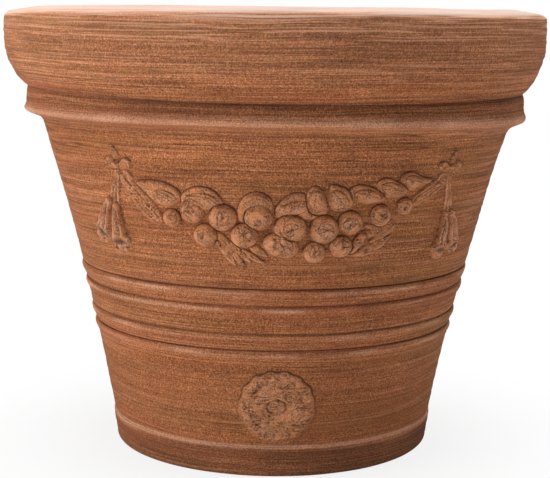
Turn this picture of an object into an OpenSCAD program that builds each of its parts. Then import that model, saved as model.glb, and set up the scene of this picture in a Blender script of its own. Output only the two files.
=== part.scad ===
// Hand-built terracotta planter with a rolled rim, turned beads, two fruit festoons and a round seal.
// Millimetres, +Z up, origin at the centre of the face that it stands on. The seal faces -Y.

/* [Heights] */
// Thickness of the base slab
slab_t = 28; // [24:1:32]
// Height of the lower ring of wall, up to the groove over its bead
lower_wall_h = 88; // [86:1:96]
// Distance between the grooves of a pair of beads
pair_pitch = 15; // [13:0.5:17]
// Width of the plain band between the two pairs of beads, from groove to groove
belt_pitch = 25; // [20:1:32]
// Height of the upper ring of wall, from the highest groove to the neck band
upper_wall_h = 129; // [124:1:138]
// Height of the neck band under the roll
band_h = 29; // [27:1:32]
// Height of the rolled rim
roll_h = 76; // [73:1:79]

/* [Body] */
// Outer radius of the wall where it stands on the base slab
wall_foot_r = 150; // [146:0.2:154]
// How far the rim overhangs the wall under the neck band
rim_overhang = 34.8; // [32:0.2:38]
// How far the wall's outline is hollowed in, half-way up, from a straight cone
wall_hollow = 3.8; // [0:0.1:6]
// Thickness of the wall at the floor
foot_wall_t = 24; // [20:0.2:28]
// Radius of the clay fillet pressed into the corner between the wall and the floor
corner_fillet = 12; // [6:1:18]
// Thickness of the slip layer that joins one clay piece to the next
slip_gap = 0.3; // [0.2:0.05:0.4]

/* [Base slab] */
// How far the slab's upper edge stands out from the wall
slab_step = 1.2; // [0.8:0.1:3]
// Bevel on the slab's upper edge
slab_bevel = 1.2; // [0.8:0.1:2]
// How far the slab's edge draws in from its bevel down to its rounded foot
slab_draw = 3.5; // [0:0.5:6]
// Radius of the rounded foot edge
foot_round = 4; // [3:0.5:8]
// Diameter of the drain hole
drain_d = 30; // [20:1:40]

/* [Beads] */
// Width of the plain land between a bead and the groove under it
bead_land = 1.2; // [0.5:0.1:3]
// How far a bead stands out
bead_proud = 1.6; // [1:0.1:2.5]
// Width of the groove above a bead
groove_w = 1.8; // [1.2:0.1:2.4]
// Depth of the groove above a bead
groove_d = 2.2; // [1:0.1:3]
// How far the joint between two rings of wall slopes down towards the inside
scarf_drop = 6; // [3:0.5:9]

/* [Rim] */
// Outer radius of the rim
rim_r = 250; // [240:0.5:262]
// Width of the rim, from its outer face to the mouth
lip_w = 38; // [34:1:42]
// How far the roll's swelling underside draws in, from its face down to the band
roll_draw = 21.6; // [19:0.2:24]
// Height of the straight face between the swelling and the top edge
roll_face_h = 18; // [16:1:21]
// Radius of the roll's rounded outer top edge
roll_edge_r = 8; // [6:0.5:9]
// Radius of the rounded inner edge of the mouth
mouth_edge_r = 10; // [6:1:12]
// How far the top of the rim falls from its crest to the outer edge
crown_drop = 3; // [2:0.5:4]
// How far the band's lip stands out from the wall
band_proud = 12; // [10:0.5:14]
// How far the band's lip lies over its lower edge
band_lip_h = 16; // [14:0.5:18]
// How much the band leans in from its lip to its top
band_lean = 2.5; // [0:0.5:4]
// Radius of the band's rounded lip
band_edge_r = 4; // [3:0.5:4.5]
// Radius of the hollow under the band
band_cove_r = 9; // [7:0.5:10]
// Angle by which the underside of the band rises towards its lip
undercut_turn = 22; // [18:1:26]
// Height of the crease between the roll and the band
crease_h = 3; // [2:0.5:4]
// Depth of the crease between the roll and the band
crease_d = 1; // [0:0.5:2]

/* [Festoon] */
// Drop from the underside of the neck band to the middle of each festoon
festoon_drop = 74; // [72:1:76]
// Number of festoons round the pot
festoon_count = 2; // [1:1:2]
// Share of a fruit's radius by which its centre lies over the wall
fruit_lift = 0.1; // [0:0.05:0.3]
// Radius of the eye at the tip of a fruit
fruit_eye_r = 2.4; // [1.5:0.1:3]
// Thickness at the middle of a leaf
leaf_t = 7; // [5:0.5:8]
// Thickness at the edge of a leaf
leaf_edge_t = 3; // [2:0.5:4]
// Thickness of the ribbons and stems
ribbon_t = 3.4; // [2:0.2:5]
// Thickness of the bows
bow_t = 5.5; // [4:0.5:7]
// Thickness of the bell flowers at their mouths
bell_t = 8; // [6:0.5:9]
// Length of the bell flowers
bell_len = 37; // [34:1:39]

/* [Seal] */
// Radius of the seal
seal_r = 33.5; // [28:0.5:34.5]
// Thickness of the seal
seal_t = 4; // [3:0.5:6]
// Radius of the line pressed round the seal
seal_line_r = 23; // [18:0.5:26]
// Width of the lines pressed into the seal
seal_line_w = 2; // [1:0.5:3]
// Depth of the lines pressed into the seal
seal_line_d = 1.2; // [0.5:0.1:2]
// Radius of the seal's centre boss
seal_boss_r = 9; // [6:0.5:12]
// Angle by which the seal sits to the left of the front
seal_turn = 1.7; // [0:0.1:4]

/* [Hidden] */
$fn = 96;
wall_fn = 240;
wall_step = 12;
clay = [0.62, 0.37, 0.24];
sprig_clay = [0.68, 0.43, 0.31];

// Heights of the grooves and joints, from the ground up
groove_1_z = slab_t + lower_wall_h;
groove_2_z = groove_1_z + pair_pitch;
groove_3_z = groove_2_z + belt_pitch;
groove_4_z = groove_3_z + pair_pitch;
GROOVES = [groove_1_z, groove_2_z, groove_3_z, groove_4_z];
seam_low_z = groove_1_z + groove_w / 2;
seam_high_z = groove_4_z + groove_w / 2;
band_z = groove_4_z + upper_wall_h;
roll_z = band_z + band_h;
pot_h = roll_z + roll_h;
bead_w = pair_pitch - groove_w - bead_land;

// The wall hangs under the rim, and the inside follows the outside by its own thicknesses
wall_neck_r = rim_r - rim_overhang;
floor_in_r = wall_foot_r - foot_wall_t;
mouth_r = rim_r - lip_w;

festoon_z = band_z - festoon_drop;
seal_z = (slab_t + groove_1_z - bead_w) / 2;

// Each leaf: distance along the wall from the middle, height over festoon_z, half length, half width
LEAVES = [
    [-107.5, 24.5, 17, 10.5],
    [-71, 21, 18.5, 12],
    [-27, 16, 15, 14],
    [1.5, 18, 12.5, 11],
    [22.5, 23, 12, 7],
    [43, 24.5, 13.5, 9],
    [66, 27, 14, 8],
    [88.5, 32.5, 13, 8.5],
    [111.5, 38, 13, 7.5],
];
LEAF_TURNS = [-14, 2, 0, 12, 84, -42, -12, -18, -10];
// Each fruit: distance along the wall, height over festoon_z, radius
FRUITS = [
    [-98.5, 6, 8],
    [-79, 12, 10.2],
    [-68.5, -7.5, 10],
    [-53.5, 7.5, 11.5],
    [-36, -6, 11],
    [-24, 9.5, 11.5],
    [2, 0, 13],
    [29, -1, 12],
    [21.5, -20, 9],
    [44, -17, 9.5],
    [52, 3.5, 10.5],
    [79.5, 8.5, 9.5],
    [103, 16, 7.5],
];
rosette_at = [-7.5, -15.5];
rosette_r = 12;
bud_at = [59.5, -12.5];
bud_r = 5;
// Each leaflet under the fruit: distance along the wall, height over festoon_z, half length
SPRAY_LEFT = [
    [-51.5, -14.5, 8],
    [-39.5, -29, 8],
    [-34.5, -21.5, 5.5],
    [-25.5, -20.5, 6],
];
SPRAY_LEFT_TURNS = [-47, -50, -24, -28];
SPRAY_RIGHT = [
    [60.5, -23, 9],
    [79, -15.6, 9],
    [77, -4.5, 9.5],
];
SPRAY_RIGHT_TURNS = [20, 22, 22];
leaflet_w = 3.2;
leaflet_t = 3.4;

// The bow and flowers at each end: the bow is mirrored, the rest is laid on by eye. Distances on the
// right end are those of its mirror image.
bow_at = [-153, 47];
bow_loop = 6.2;
bow_loop_w = 5;
bow_knob_r = 4.5;
RIBBON_LEFT = [[-142, 31], [-115, 6]];
RIBBON_RIGHT = [[149, 39], [116, 21]];
ribbon_w = 9;
stem_w = 4.5;
stem_drop = 8;
STEM_ENDS = [[-160, 18], [-154, 11]];
// Each flower of the two ends: distance along the wall, height over festoon_z, half width at the mouth
BELLS = [
    [[-164.5, 15.5, 7.5], [-155.5, 12, 8.5]],
    [[-158.5, 7, 7.5], [-149.5, 6, 8]],
];
BELL_TURNS = [[-23, 3], [-18, 5]];

leaf_count = len(LEAVES);
fruit_count = len(FRUITS);
VESSEL_NODES = ["base_slab", "lower_wall", "belt_wall", "upper_wall", "neck_band", "rim_roll", "seal_pad"];
LEAF_NODES = [for (i = [1:leaf_count]) str("leaf_", i)];
FRUIT_NODES = [for (i = [1:fruit_count]) str("fruit_", i)];
SPRIG_NODES = ["rosette", "bud", "spray_left", "spray_right"];
END_PIECES = ["bow", "ribbon", "stem", "outer_bell", "inner_bell"];
SIDES = ["left", "right"];
END_NODES = [for (piece = END_PIECES, side = SIDES) str(piece, "_", side)];

// Outlines

// Points of an arc from angle a to angle b
function arc(c, r, a, b, n = 8) = [for (i = [0:n]) c + r * [cos(a + (b - a) * i / n), sin(a + (b - a) * i / n)]];

// Outer radius of the plain wall at height z: a cone, hollowed by wall_hollow half-way up
function wall_r(z) =
    let (t = (z - slab_t) / (band_z - slab_t))
    wall_foot_r + (wall_neck_r - wall_foot_r) * t - 4 * wall_hollow * t * (1 - t);

// Radius of the straight inside of the pot at height z
function inside_r(z) = floor_in_r + (mouth_r - floor_in_r) * (z - slab_t) / (pot_h - slab_t);

// The plain wall's outer points between two heights, one for every wall_step
function wall_line(z0, z1) =
    let (n = ceil((z1 - z0) / wall_step))
    [for (i = [0:n]) let (z = z0 + (z1 - z0) * i / n) [wall_r(z), z]];

// The bead under a groove, from its lower edge up: it swells slowly and rolls quickly into the groove
function bead_line(z) =
    [for (i = [0:8])
        let (q = i / 8, h = z - bead_w * (1 - q))
        [wall_r(h) + bead_proud * sin(180 * pow(q, 1.7)), h]];

// The bottom of a groove, which is also the outer end of a joint between two rings of wall
function groove(z) = [wall_r(z) - groove_d, z];

// The inner end of that joint, which slopes down towards the inside
function scarf(z) = [inside_r(z - scarf_drop), z - scarf_drop];

// Outer points of the wall from z0 up to the groove at z1, with the beads and grooves that lie between
function ring_line(z0, z1) =
    let (mine = [for (z = GROOVES) if (z > z0 && z <= z1) z], last = len(mine) - 1)
    concat(
        wall_line(z0, mine[0] - bead_w),
        [for (i = [0:last]) each concat(
            bead_line(mine[i]),
            [groove(mine[i] + groove_w / 2)],
            i < last ? wall_line(mine[i] + groove_w, mine[i + 1] - bead_w) : []
        )]
    );

// Vessel

module spin() {
    rotate_extrude($fn = wall_fn) children();
}

module base_slab() {
    top_r = wall_foot_r + slab_step;
    low_r = top_r - slab_draw;
    color(clay) spin() polygon(concat(
        [[drain_d / 2, 0]],
        arc([low_r - foot_round, foot_round], foot_round, -90, 0),
        [
            [top_r, slab_t - slab_bevel],
            [top_r - slab_bevel, slab_t],
            [drain_d / 2, slab_t],
        ]
    ));
}

module lower_wall() {
    fillet_z = slab_t + corner_fillet;
    color(clay) spin() polygon(concat(
        ring_line(slab_t, groove_1_z),
        [scarf(seam_low_z)],
        arc([inside_r(fillet_z) - corner_fillet, fillet_z], corner_fillet, 0, -90)
    ));
}

module belt_wall() {
    color(clay) spin() polygon(concat(
        [scarf(seam_low_z), groove(seam_low_z)],
        ring_line(groove_1_z + groove_w, groove_4_z),
        [scarf(seam_high_z)]
    ));
}

module upper_wall() {
    color(clay) spin() polygon(concat(
        [scarf(seam_high_z), groove(seam_high_z)],
        wall_line(groove_4_z + groove_w, roll_z),
        [[inside_r(roll_z), roll_z]]
    ));
}

// A strap wrapped round the top of the wall: a leaning face over an undercut lower edge
module neck_band() {
    lip_z = band_z + band_lip_h;
    lip_r = wall_r(lip_z) + band_proud;
    cove_turn = 158;
    low = [wall_r(band_z) + slip_gap, band_z];
    cove = low - band_cove_r * [cos(cove_turn), sin(cove_turn)];
    color(clay) spin() polygon(concat(
        [[wall_r(roll_z) + slip_gap, roll_z]],
        arc(cove, band_cove_r, cove_turn, 90 + undercut_turn, 5),
        arc([lip_r - band_edge_r, lip_z - band_edge_r], band_edge_r, undercut_turn - 90, 60, 6),
        [
            [lip_r - band_lean, roll_z - crease_h],
            [lip_r - band_lean - crease_d, roll_z],
        ]
    ));
}

// The rolled rim: a swelling underside, a straight face, a crowned top and a rounded mouth
module rim_roll() {
    face_z = pot_h - crown_drop - roll_edge_r - roll_face_h;
    roll_r = (pow(face_z - roll_z, 2) + pow(roll_draw, 2)) / (2 * roll_draw);
    swell = asin((face_z - roll_z) / roll_r);
    color(clay) spin() polygon(concat(
        [[inside_r(roll_z), roll_z]],
        arc([rim_r - roll_r, face_z], roll_r, -swell, 0, 14),
        arc([rim_r - roll_edge_r, pot_h - crown_drop - roll_edge_r], roll_edge_r, 0, 70),
        arc([mouth_r + mouth_edge_r, pot_h - mouth_edge_r], mouth_edge_r, 90, 180)
    ));
}

// The plain wall as a solid, grown by a distance, for seating the seal that is luted on to it
module wall_solid(grow) {
    spin() polygon(concat(
        [[0, slab_t]],
        [for (p = wall_line(slab_t, band_z)) p + [grow, 0]],
        [[0, band_z]]
    ));
}

// A bar through the middle of the seal, square to the pot's axis
module seal_bar(r) {
    translate([0, 0, seal_z]) rotate([90, 0, 0]) cylinder(r = r, h = wall_neck_r);
}

// What a round line takes out of the face of the seal
module seal_line(r) {
    difference() {
        seal_bar(r + seal_line_w / 2);
        seal_bar(r - seal_line_w / 2);
        wall_solid(seal_t - seal_line_d);
    }
}

// A round pad pressed on to the wall, with two plain round lines
module seal_pad() {
    color(sprig_clay) rotate([0, 0, -seal_turn]) intersection() {
        difference() {
            wall_solid(seal_t);
            wall_solid(slip_gap);
            seal_line(seal_line_r);
            seal_line(seal_boss_r);
        }
        seal_bar(seal_r);
    }
}

// Placing things on the wall

// A point on the wall: s along it from the middle of the front, up over festoon_z, out from its face
function on_wall(s, up, out) =
    let (z = festoon_z + up, r = wall_r(z), a = s / r * 180 / PI - 90)
    [(r + out) * cos(a), (r + out) * sin(a), z];

// Local plan coordinates, turned about a place on the wall
function turned(at, turn, u, v) = at + [u * cos(turn) - v * sin(turn), u * sin(turn) + v * cos(turn)];

// Repeats a festoon piece on each festoon
module each_festoon() {
    color(sprig_clay)
        for (k = [0:festoon_count - 1]) rotate([0, 0, k * 360 / festoon_count]) children();
}

// A lens of clay on the wall: plan(a) is its outline's radius, crown(q, a) its thickness,
// where q runs from 0 in the middle to 1 at the edge
module sprig(at, turn, plan, crown, rings = 3, sides = 16) {
    step = 360 / sides;
    function spot(q, a) = turned(at, turn, q * plan(a) * cos(a), q * plan(a) * sin(a));
    function lifted(q, a, out) = let (p = spot(q, a)) on_wall(p.x, p.y, slip_gap + out);
    top = [for (k = [1:rings], i = [0:sides - 1]) lifted(k / rings, i * step, crown(k / rings, i * step))];
    seat = [for (i = [0:sides - 1]) lifted(1, i * step, 0)];
    middle = [lifted(0, 0, crown(0, 0)), lifted(0, 0, 0)];
    count = rings * sides;
    hub = count + sides;
    next = [for (i = [0:sides - 1]) (i + 1) % sides];
    rows = [for (k = [0:rings - 1]) k * sides];
    polyhedron(
        concat(top, seat, middle),
        concat(
            [for (i = [0:sides - 1]) [hub, next[i], i]],
            [for (k = rows, i = [0:sides - 1]) [k + i, k + next[i], k + sides + i]],
            [for (k = rows, i = [0:sides - 1]) [k + next[i], k + sides + next[i], k + sides + i]],
            [for (i = [0:sides - 1]) [hub + 1, count + i, count + next[i]]]
        )
    );
}

// A strip of clay along the wall from a to b: half_w(t) is half its width and crown(t, w) its
// thickness, where t runs from 0 to 1 along it and w from -1 to 1 across it
module strip(a, b, half_w, crown, steps = 6, across = 8) {
    way = (b - a) / norm(b - a);
    side = [-way.y, way.x];
    function spot(i, j, out) =
        let (t = i / steps, w = 2 * j / across - 1, p = a + (b - a) * t + side * half_w(t) * w)
        on_wall(p.x, p.y, slip_gap + out);
    row = across + 1;
    top = [for (i = [0:steps], j = [0:across]) spot(i, j, crown(i / steps, 2 * j / across - 1))];
    seat = [for (i = [0:steps], j = [0:across]) spot(i, j, 0)];
    n = len(top);
    cells = [for (i = [0:steps - 1], j = [0:across - 1]) i * row + j];
    ends = [for (j = [0:across - 1]) j];
    flanks = [for (i = [0:steps - 1]) i * row];
    last = steps * row;
    polyhedron(
        concat(top, seat),
        concat(
            [for (c = cells) [c, c + 1, c + row]],
            [for (c = cells) [c + 1, c + row + 1, c + row]],
            [for (c = cells) [n + c, n + c + row, n + c + 1]],
            [for (c = cells) [n + c + 1, n + c + row, n + c + row + 1]],
            [for (j = ends) [j, n + j, j + 1]],
            [for (j = ends) [j + 1, n + j, n + j + 1]],
            [for (j = ends) [last + j, last + j + 1, n + last + j]],
            [for (j = ends) [last + j + 1, n + last + j + 1, n + last + j]],
            [for (c = flanks) [c, c + row, n + c]],
            [for (c = flanks) [c + row, n + c + row, n + c]],
            [for (c = flanks) [c + across, n + c + across, c + row + across]],
            [for (c = flanks) [c + row + across, n + c + across, n + c + row + across]]
        )
    );
}

// A ball on the wall
module ball(at, r, grow = 0) {
    translate(on_wall(at.x, at.y, r * fruit_lift)) sphere(r = r + grow);
}

// The wall behind a ball, as one cone over its height, for cutting the ball's seat
module ball_seat(at, r) {
    reach = r * 1.5;
    z = festoon_z + at.y;
    low_r = wall_r(z - reach) + slip_gap;
    high_r = wall_r(z + reach) + slip_gap;
    translate([0, 0, z - reach]) cylinder(r1 = low_r, r2 = high_r, h = 2 * reach, $fn = wall_fn);
}

// The fruit that lie within reach of a place, grown by the slip layer, to cut what tucks under them
module fruit_near(at, reach, last = fruit_count - 1) {
    for (i = [0:1:last]) {
        place = [FRUITS[i].x, FRUITS[i].y];
        if (norm(place - at) < reach + FRUITS[i].z) ball(place, FRUITS[i].z, slip_gap);
    }
}

// Festoon

// A leaf with a blunt point and a keel along its middle, tucked under the fruit
module leaf(i) {
    at = [LEAVES[i].x, LEAVES[i].y];
    half_l = LEAVES[i][2];
    half_w = LEAVES[i][3];
    point = 1.75;
    plan = function (a)
        1 / pow(pow(abs(cos(a)) / half_l, point) + pow(abs(sin(a)) / half_w, point), 1 / point);
    crown = function (q, a) leaf_edge_t + (leaf_t - leaf_edge_t) * (1 - q * q * (0.4 + 0.6 * abs(sin(a))));
    each_festoon() difference() {
        sprig(at, LEAF_TURNS[i], plan, crown);
        fruit_near(at, half_l + slip_gap);
    }
}

// A round fruit with a pitted eye; the fruit before it in the list lie over it
module fruit(i) {
    at = [FRUITS[i].x, FRUITS[i].y];
    r = FRUITS[i].z;
    each_festoon() difference() {
        ball(at, r);
        ball_seat(at, r);
        translate(on_wall(at.x, at.y, r * (1 + fruit_lift))) sphere(r = fruit_eye_r);
        fruit_near(at, r + slip_gap, i - 1);
    }
}

// A six-lobed flower with a hollow in its middle, part hidden by the fruit
module rosette() {
    plan = function (a) rosette_r * (0.94 + 0.06 * cos(6 * a));
    crown = function (q, a) 5.5 + 3 * sin(180 * min(1, q * 1.1)) + 0.8 * q * cos(6 * a);
    each_festoon() difference() {
        sprig(rosette_at, 0, plan, crown, 4, 24);
        fruit_near(rosette_at, rosette_r + slip_gap);
    }
}

module bud() {
    each_festoon() difference() {
        ball(bud_at, bud_r);
        ball_seat(bud_at, bud_r);
        fruit_near(bud_at, bud_r + slip_gap);
    }
}

// A fan of narrow leaflets
module spray(leaflets, turns) {
    each_festoon() for (i = [0:len(leaflets) - 1]) {
        at = [leaflets[i].x, leaflets[i].y];
        half_l = leaflets[i].z;
        plan = function (a) 1 / norm([cos(a) / half_l, sin(a) / leaflet_w]);
        crown = function (q, a) leaflet_t * (1 - 0.6 * q * q);
        difference() {
            sprig(at, turns[i], plan, crown, 2, 12);
            fruit_near(at, half_l + slip_gap);
        }
    }
}

function side_index(side) = side == "right" ? 1 : 0;

// A piece for the left end of each festoon, or its mirror image for the right end
module end_piece(side) {
    each_festoon() mirror([side == "right" ? 1 : 0, 0, 0]) children();
}

// Two loops and a knob
module bow(side) {
    reach = bow_knob_r + bow_loop - 1;
    plan = function (a) 1 / norm([cos(a) / bow_loop, sin(a) / bow_loop_w]);
    crown = function (q, a) bow_t * (0.45 + 0.55 * sin(160 * q));
    end_piece(side) {
        for (turn = [8, 172]) difference() {
            sprig(bow_at + reach * [cos(turn), sin(turn)], turn, plan, crown, 3, 14);
            ball(bow_at, bow_knob_r, slip_gap);
        }
        difference() {
            ball(bow_at, bow_knob_r);
            ball_seat(bow_at, bow_knob_r);
        }
    }
}

// Three cords side by side, from under the bow to the end of the garland
module ribbon(ends) {
    each_festoon() strip(ends[0], ends[1],
        function (t) ribbon_w / 2 * (0.5 + 0.5 * t),
        function (t, w) ribbon_t * (0.35 + 0.65 * abs(sin(270 * (w + 1)))),
        6, 12);
}

// The stem from the bow down to the flowers
module stem(side) {
    end_piece(side) strip(bow_at - [0, stem_drop], STEM_ENDS[side_index(side)],
        function (t) stem_w / 2,
        function (t, w) ribbon_t * (1 - 0.6 * w * w),
        5, 4);
}

// A hanging bell flower: ribbed, flaring to a lip, with its mouth open at the lower end
module bell(side, i) {
    place = BELLS[side_index(side)][i];
    turn = BELL_TURNS[side_index(side)][i];
    top = [place.x, place.y];
    mouth_w = place.z;
    foot = top + bell_len * [sin(turn), -cos(turn)];
    neck_w = stem_w / 2;
    neck_t = ribbon_t * 0.7;
    end_piece(side) difference() {
        strip(top, foot,
            function (t) neck_w + (mouth_w - neck_w) * pow(t, 1.6),
            function (t, w) (neck_t + (bell_t - neck_t) * t) * (1 - 0.5 * w * w) + 0.5 * cos(540 * w) * t,
            6, 8);
        translate(on_wall(foot.x, foot.y, bell_t * 0.55)) sphere(r = mouth_w * 0.42);
    }
}

base_slab();
lower_wall();
belt_wall();
upper_wall();
neck_band();
rim_roll();
seal_pad();
for (i = [0:leaf_count - 1]) leaf(i);
for (i = [0:fruit_count - 1]) fruit(i);
rosette();
bud();
spray(SPRAY_LEFT, SPRAY_LEFT_TURNS);  // spray_left
spray(SPRAY_RIGHT, SPRAY_RIGHT_TURNS);  // spray_right
ribbon(RIBBON_LEFT);  // ribbon_left
ribbon(RIBBON_RIGHT);  // ribbon_right
for (side = SIDES) {
    bow(side);
    stem(side);
    bell(side, 0);
    bell(side, 1);
}
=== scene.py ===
# %% [markdown]
# # A hand-built terracotta planter with a fruit festoon
#
# The pot is made of rings of clay on a base slab, a band and a heavy rolled rim. Fruit, leaves, bows and
# hanging flowers are pressed in moulds and luted on to the wall with slip, and a round seal is pressed on
# low at the front. This lesson dresses the CAD model of that pot: it gives each clay piece the surface
# that a hand and a brush leave, and then finishes all of them in fired clay.

# %% Load the CAD frame
import itertools
import math
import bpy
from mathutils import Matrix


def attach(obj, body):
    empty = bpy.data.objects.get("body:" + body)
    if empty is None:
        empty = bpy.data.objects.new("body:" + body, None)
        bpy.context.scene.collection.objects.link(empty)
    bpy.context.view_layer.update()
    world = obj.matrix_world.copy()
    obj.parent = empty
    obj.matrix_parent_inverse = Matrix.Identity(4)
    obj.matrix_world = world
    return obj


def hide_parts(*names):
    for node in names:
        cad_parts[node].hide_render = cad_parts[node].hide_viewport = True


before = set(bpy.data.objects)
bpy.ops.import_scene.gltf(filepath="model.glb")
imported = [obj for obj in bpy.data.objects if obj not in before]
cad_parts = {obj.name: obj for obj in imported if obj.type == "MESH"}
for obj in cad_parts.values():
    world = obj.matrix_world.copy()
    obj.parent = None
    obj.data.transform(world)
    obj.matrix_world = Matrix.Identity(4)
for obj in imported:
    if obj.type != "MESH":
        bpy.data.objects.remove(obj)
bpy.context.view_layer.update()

from types import SimpleNamespace

import bpy
import numpy as np
from mathutils import Matrix, Vector

print("CAD nodes:", len(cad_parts))

# %% [markdown]
# ## Camera
#
# The camera stands where the photographer stood: a little to the left of the front, about level with the
# rim and looking slightly down. It could be placed by eye, but the pot's rings are circles, so their
# ellipses in the photograph give the distance, the height and the tilt.

# %% Camera at the photograph's viewing angle
FRAME_W = 550
FOCAL_PX = 1417
SHIFT_PX = 1.5
SENSOR_MM = 36
AZIMUTH = Matrix.Rotation(math.radians(-3.2), 4, "Z")
DISTANCE = 1.3345
EYE_HEIGHT = 0.390
LOOK_DOWN = math.radians(8.63)
ROLL = math.radians(0.65)
camera_data = bpy.data.cameras.new("camera")
camera_data.sensor_width = SENSOR_MM
camera_data.lens = SENSOR_MM * FOCAL_PX / FRAME_W
camera_data.shift_x = SHIFT_PX / FRAME_W
camera = bpy.data.objects.new("camera", camera_data)
bpy.context.scene.collection.objects.link(camera)
aim = Matrix.Rotation(math.pi / 2 - LOOK_DOWN, 4, "X") @ Matrix.Rotation(ROLL, 4, "Z")
camera.matrix_world = Matrix.Translation(AZIMUTH @ Vector((0, -DISTANCE, EYE_HEIGHT))) @ AZIMUTH @ aim
bpy.context.scene.camera = camera
print("lens:", round(camera_data.lens, 1), "mm")

# %% [markdown]
# ## Shader nodes in one line each
#
# A material is a tree of nodes. It could be wired up by hand in the shader editor. A short helper keeps
# each node on one line instead: what is given as a node socket is linked, and what is given as a number
# or a colour is set on the node itself.

# %% Helper for shader nodes
def feed(tree, socket, value):
    """Links a node socket to an input, or sets a number or a colour on it."""
    if isinstance(value, bpy.types.NodeSocket):
        tree.links.new(value, socket)
    else:
        socket.default_value = value


def add_node(tree, kind, inputs=(), **settings):
    """A new node, with its settings, and with its inputs linked or set."""
    made = tree.nodes.new(kind)
    for name, value in settings.items():
        setattr(made, name, value)
    for name, value in dict(inputs).items():
        feed(tree, made.inputs[name], value)
    return made


def screen(red, green, blue):
    """A colour picked on the screen, 0 to 255, as the linear colour that a shader takes."""
    part = [c / 255 for c in (red, green, blue)]
    return tuple(c / 12.92 if c <= 0.04045 else ((c + 0.055) / 1.055) ** 2.4 for c in part) + (1.0,)


# %% [markdown]
# ## Fired clay
#
# Unglazed terracotta is matt and never one colour. A stiff brush leaves thin level strokes round the pot,
# the slip that it spreads dries in redder and yellower streaks, the clay shows grit and pinholes, and pale
# dust stays on what stands proud. What lies deep is darkened as painted shade, and the rim's top and the
# rubbed edges are paled by painted highlight as well as by dust and wear. A picture of clay could be
# wrapped on, but it would stretch on the relief. Noise in the pot's own space has no seam. The strokes read
# height and radius as two separate directions, so they stay level on the wall and run in circles on top of
# the rim.

# %% Colours of the clay, and where its finish changes
CLAY_DARK = screen(112, 60, 32)
CLAY_MID = screen(159, 94, 55)
CLAY_PALE = screen(202, 138, 92)
CLAY_RED = screen(160, 78, 43)
CLAY_OCHRE = screen(142, 95, 45)
SKIN = screen(226, 150, 98)
# Pale colour for dust and wear, and for painted highlight
DUST_AND_HIGHLIGHT = screen(228, 174, 142)
# Dark colour for dirt in the marks, and for painted shade in hollows and creases
SHADE_AND_DIRT = screen(60, 30, 18)
DAMP = screen(84, 56, 44)
# Pale bloom with painted highlight, on the rim's up-facing top
BLOOM_AND_HIGHLIGHT = screen(207, 184, 171)
# Heights in metres: where a finish starts to change, and where the change is done
BRUSHED_WALL = (0.08, 0.26)
SLAB_EDGE = (0.030, 0.026)
DAMP_FOOT = (0.0265, 0.022)
OVER_FESTOON = (0.24, 0.28)
UNDER_ROLL = (0.325, 0.345)
ROLL_FACE = (0.330, 0.360)
ROLL_UPPER = (0.335, 0.380)
WHOLE_ROLL = (0.330, 0.390)
RIM_TOP = (0.36, 0.39)

# %% Helpers that mix colours and numbers
def mix_colours(tree, blend, amount, below, above):
    """One colour mixed over another."""
    mixed = add_node(tree, "ShaderNodeMix", data_type="RGBA", blend_type=blend)
    sockets = {socket.identifier: socket for socket in mixed.inputs}
    for name, value in (("Factor_Float", amount), ("A_Color", below), ("B_Color", above)):
        feed(tree, sockets[name], value)
    return next(socket for socket in mixed.outputs if socket.identifier == "Result_Color")


def ramp(tree, value, stops):
    """A colour ramp through (position, colour) stops."""
    made = add_node(tree, "ShaderNodeValToRGB", {"Fac": value})
    band = made.color_ramp
    while len(band.elements) < len(stops):
        band.elements.new(0.5)
    for element, (position, colour) in zip(band.elements, stops):
        element.position = position
        element.color = colour
    return made.outputs["Color"]


def grey(level):
    """A grey from black at 0 to white at 1."""
    return (level, level, level, 1.0)


def spread(tree, value, low, high, to_low=0.0, to_high=1.0):
    """A value stretched from one range to another, and kept inside it."""
    made = add_node(tree, "ShaderNodeMapRange", {"Value": value, "From Min": low, "From Max": high,
                                                 "To Min": to_low, "To Max": to_high})
    return made.outputs["Result"]


def maths(tree, operation, first, second=0.0):
    """Two numbers put together by a Math node."""
    return add_node(tree, "ShaderNodeMath", {0: first, 1: second}, operation=operation).outputs["Value"]


def times(tree, first, second):
    """One number multiplied by another."""
    return maths(tree, "MULTIPLY", first, second)


def thin_lines(tree, noise, width):
    """1 where a noise crosses its middle value and 0 a little way off: thin lines that wind and end."""
    off = maths(tree, "ABSOLUTE", maths(tree, "SUBTRACT", noise, 0.5))
    return spread(tree, off, 0, width, 1, 0)


def marked(tree, attribute):
    """What is marked on the piece's own points."""
    return add_node(tree, "ShaderNodeAttribute", attribute_name=attribute).outputs["Fac"]


# %% Noises in the pot's own space
WANDER = 0.002


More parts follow.
